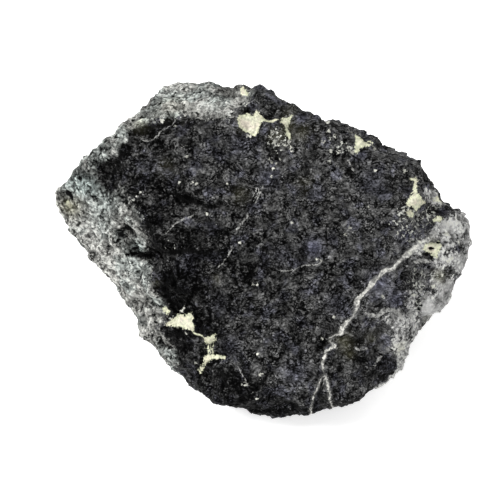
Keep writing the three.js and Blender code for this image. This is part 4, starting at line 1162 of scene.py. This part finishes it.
def ore_finish():
    """Fresh chromite, rind, infillings and vein, chosen by the stone's own fields and
    broken up by grain in millimetres."""
    f = Finish("chromite_ore")
    place = f.node("ShaderNodeTexCoord").outputs["Object"]
    turn_back = (-math.radians(FACE_LEAN), 0, 0)
    to_mm = (1 / MM, 1 / MM, 1 / MM)
    inputs = {"Vector": place, "Scale": to_mm, "Rotation": turn_back}
    here = f.node("ShaderNodeMapping", inputs).outputs[0]  # the face frame, in mm

    # Broad lighter and darker ground, partly the stone's own tone and partly painted shade, ragged
    # at the size of a grain as the edges are
    rag = f.ripple(here, 1.3)
    shade = f.times(f.field("shade"), f.plus(1.0, rag, 2.0))
    lighter, darker = f.ramp(shade, -1, 0, LIGHTENING, 0.0), f.ramp(shade, 0, 1, 0.0, -DARKENING)
    shade = f.math("ADD", lighter, darker)
    dark, grain, fresh_height = fresh_chromite(f, here, shade)
    worms, pepper = weathered_marks(f, here)
    rind_share = f.ramp(f.plus(f.field("rind"), rag, 4.5), -0.3, 0.3)
    pale_share = f.ramp(f.plus(f.field("pale"), rag, 5.0), -0.5, 0.5)
    body = f.mix(pale_share, dark, pale_rock(f, here, shade, worms, pepper))
    body = f.mix(rind_share, body, rind_stone(f, here, shade, worms, pepper))

    # Olive stains
    body = f.vector("MINIMUM", body, GROUND_LIMIT)
    stained = f.vector("ADD", f.vector("MULTIPLY", body, STAIN_TINT), STAIN_LIFT)
    body = f.mix(f.times(f.field("stain"), 0.6), body, stained)

    # Small white grains: irregular, thickest where the fleck field is
    speck = f.cloud(f.moved(here, 41), 1.5, 3.0, 0.6)
    speck = f.math("SUBTRACT", speck, f.ramp(f.field("flecks"), 0, 1, 0.8, 0.55))
    fleck = f.times(f.ramp(speck, -0.01, 0.03), f.math("SUBTRACT", 1.0, rind_share))
    white = f.scaled(FLECK_COLOUR, f.ramp(f.cloud(f.moved(here, 47), 1.0), 0.36, 0.6, 0.4, 1.05))
    body = f.mix(f.times(fleck, 0.9), body, white)

    # The vein with painted shade along its sides beside its ridge, then cracks painted black for
    # the shade in them, and hairlines
    ripple = f.ripple(here, 2.2)
    patchy = f.ramp(f.cloud(f.moved(here, 7), 0.8, 3.0, 0.6), 0.38, 0.54, 0.35, 1.0)
    vein = f.mix(f.ramp(f.cloud(here, 1.5, 3.0, 0.65), 0.38, 0.58), *VEIN_COLOURS)
    broken = f.ramp(f.cloud(f.moved(here, 19), 1.8), 0.36, 0.58, 0.12, 1.0)
    for name, widen, shake, strength, colour in (
        ("vein", 0.3, 1.6, 0.4, VEIN_SIDE_SHADE), ("vein", 0.0, 1.1, patchy, vein),
        ("crack", 0.0, 1.3, 0.95, SHADOW_BLACK), ("hair", 0.02, 0.9, broken, HAIR_COLOUR),
    ):
        share = f.times(line_share(f, ripple, name, widen, shake), strength)
        body = f.mix(share, body, colour)

    # Bits, cream infillings with their threads, and holes painted black for the shade inside them
    bits = f.ramp(f.plus(f.field("bits"), ripple, 1.3), 0.03, 0.16)
    faint = f.ramp(f.cloud(f.moved(here, 11), 0.5, 1.0), 0.36, 0.6, 0.5, 1.0)
    body = f.mix(bits, body, f.scaled(BIT_COLOUR, faint))
    cream_in = f.ramp(f.plus(f.field("cream"), ripple, 1.5), -0.12, 0.06)
    cream_in = f.most(cream_in, line_share(f, ripple, "thread", 0.0, 0.6))
    body = f.mix(cream_in, body, cream_infilling(f, here, ripple))
    hole = f.plus(f.field("hole"), f.times(rag, f.field("hole")), 3.0)
    body = f.mix(f.ramp(hole, 0.2, 0.6), body, SHADOW_BLACK)
    f.put(f.shader.inputs["Base Color"], body)

    # Gloss: fresh grains glint a little, the rest is dull
    dull = f.most(f.most(rind_share, cream_in), f.times(pale_share, 0.8))
    inputs = {0: dull, 2: f.ramp(grain, 0, 1, 0.42, 0.7), 3: DULL_ROUGHNESS}
    gloss = f.node("ShaderNodeMix", inputs, data_type="FLOAT")
    f.put(f.shader.inputs["Roughness"], gloss.outputs[0])
    f.shader.inputs["Specular IOR Level"].default_value = GLOSS_LEVEL

    # Grain too fine for the mesh
    height = f.math("ADD", f.cloud(here, 2.4, 4.0, 0.68), fresh_height)
    height = f.plus(height, worms, -0.2)
    bump = f.node("ShaderNodeBump", {"Height": height, "Distance": BUMP_HEIGHT, "Strength": 1.0})
    f.put(f.shader.inputs["Normal"], bump.outputs[0])
    return f.material


def floor_finish():
    """A plain pale matt floor, a little lit of itself, with the faintest unevenness."""
    f = Finish("pale_floor")
    place = f.node("ShaderNodeTexCoord").outputs["Object"]
    tone = f.ramp(f.cloud(place, 6.0, 2.0, 0.5), 0.3, 0.7, 0.985, 1.0)
    f.put(f.shader.inputs["Base Color"], f.scaled((0.86, 0.86, 0.86), tone))
    f.shader.inputs["Emission Color"].default_value = (1, 1, 1, 1)
    f.shader.inputs["Emission Strength"].default_value = 0.5
    f.shader.inputs["Roughness"].default_value = 0.9
    f.shader.inputs["Specular IOR Level"].default_value = 0.1
    return f.material


# ---------------------------------------------------------------- studio
VIEW_ELEVATION = 63.0
VIEW_DISTANCE = SEEN_FROM * MM
LENS = 324.0
FLOOR_GAP = 0.05  # the floor's drop under the flat, in mm, so that the two never coincide
FLOOR_REACH = 3.0  # metres from the middle to each side of the floor
SURROUND_LEVEL = 0.95
# The one lamp: where it shines from, then distance and size in metres, and power in watts.
KEY_FROM, KEY_DISTANCE, KEY_SIZE, KEY_POWER = (-0.6, -0.05, 1.0), 0.9, 0.4, 9.0
KEY_AIM = (0, 0, 0.02)


def view_axes():
    """The camera's right, up and backward directions, up being back x right."""
    e = math.radians(VIEW_ELEVATION)
    right = np.array([1.0, 0, 0])
    back = np.array([0, -math.cos(e), math.sin(e)])
    return right, np.cross(back, right), back


def aim(thing, back):
    """Turns a camera or light to look against its backward direction."""
    thing.rotation_euler = Vector(back).to_track_quat("Z", "Y").to_euler()


def make_camera(inner):
    """A long lens square to the broken face."""
    right, up, back = view_axes()
    middle = inner + (right * SEEN_OVER[0] + up * SEEN_OVER[1]) * MM
    camera = added("camera", bpy.data.cameras.new("camera"))
    camera.data.lens = LENS
    camera.data.sensor_width = 36.0
    camera.data.clip_start, camera.data.clip_end = 0.01, 20.0
    camera.location = middle + back * VIEW_DISTANCE
    aim(camera, back)
    bpy.context.scene.camera = camera


def make_key_light():
    """A square soft light that shines onto the lump from KEY_FROM, KEY_DISTANCE off."""
    data = bpy.data.lights.new("key", "AREA")
    data.shape = "SQUARE"
    data.size = KEY_SIZE
    data.energy = KEY_POWER
    light = added("key", data)
    towards = np.array(KEY_FROM) / np.linalg.norm(KEY_FROM)
    light.location = towards * KEY_DISTANCE + np.array(KEY_AIM)
    aim(light, towards)


def make_studio():
    """Pale floor, evenly lit white surroundings, one soft light from above and the left."""
    level = -FLOOR_GAP * MM
    corners = [(x * FLOOR_REACH, y * FLOOR_REACH, level)
               for x, y in ((-1, -1), (1, -1), (1, 1), (-1, 1))]
    mesh = bpy.data.meshes.new("floor")
    mesh.from_pydata(corners, [], [(0, 1, 2, 3)])
    mesh.materials.append(floor_finish())
    floor = added("floor", mesh)
    world = bpy.data.worlds.new("studio")
    world.use_nodes = True
    surround = world.node_tree.nodes["Background"].inputs
    surround["Color"].default_value = (1, 1, 1, 1)
    surround["Strength"].default_value = SURROUND_LEVEL
    bpy.context.scene.world = world
    make_key_light()
    bpy.context.scene.view_settings.view_transform = "Standard"


stone_piece, inner_point = make_stone()
stone_piece.data.materials.append(ore_finish())
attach(stone_piece, "root")
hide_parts("chromite_ore_lump")

make_camera(inner_point)
make_studio()
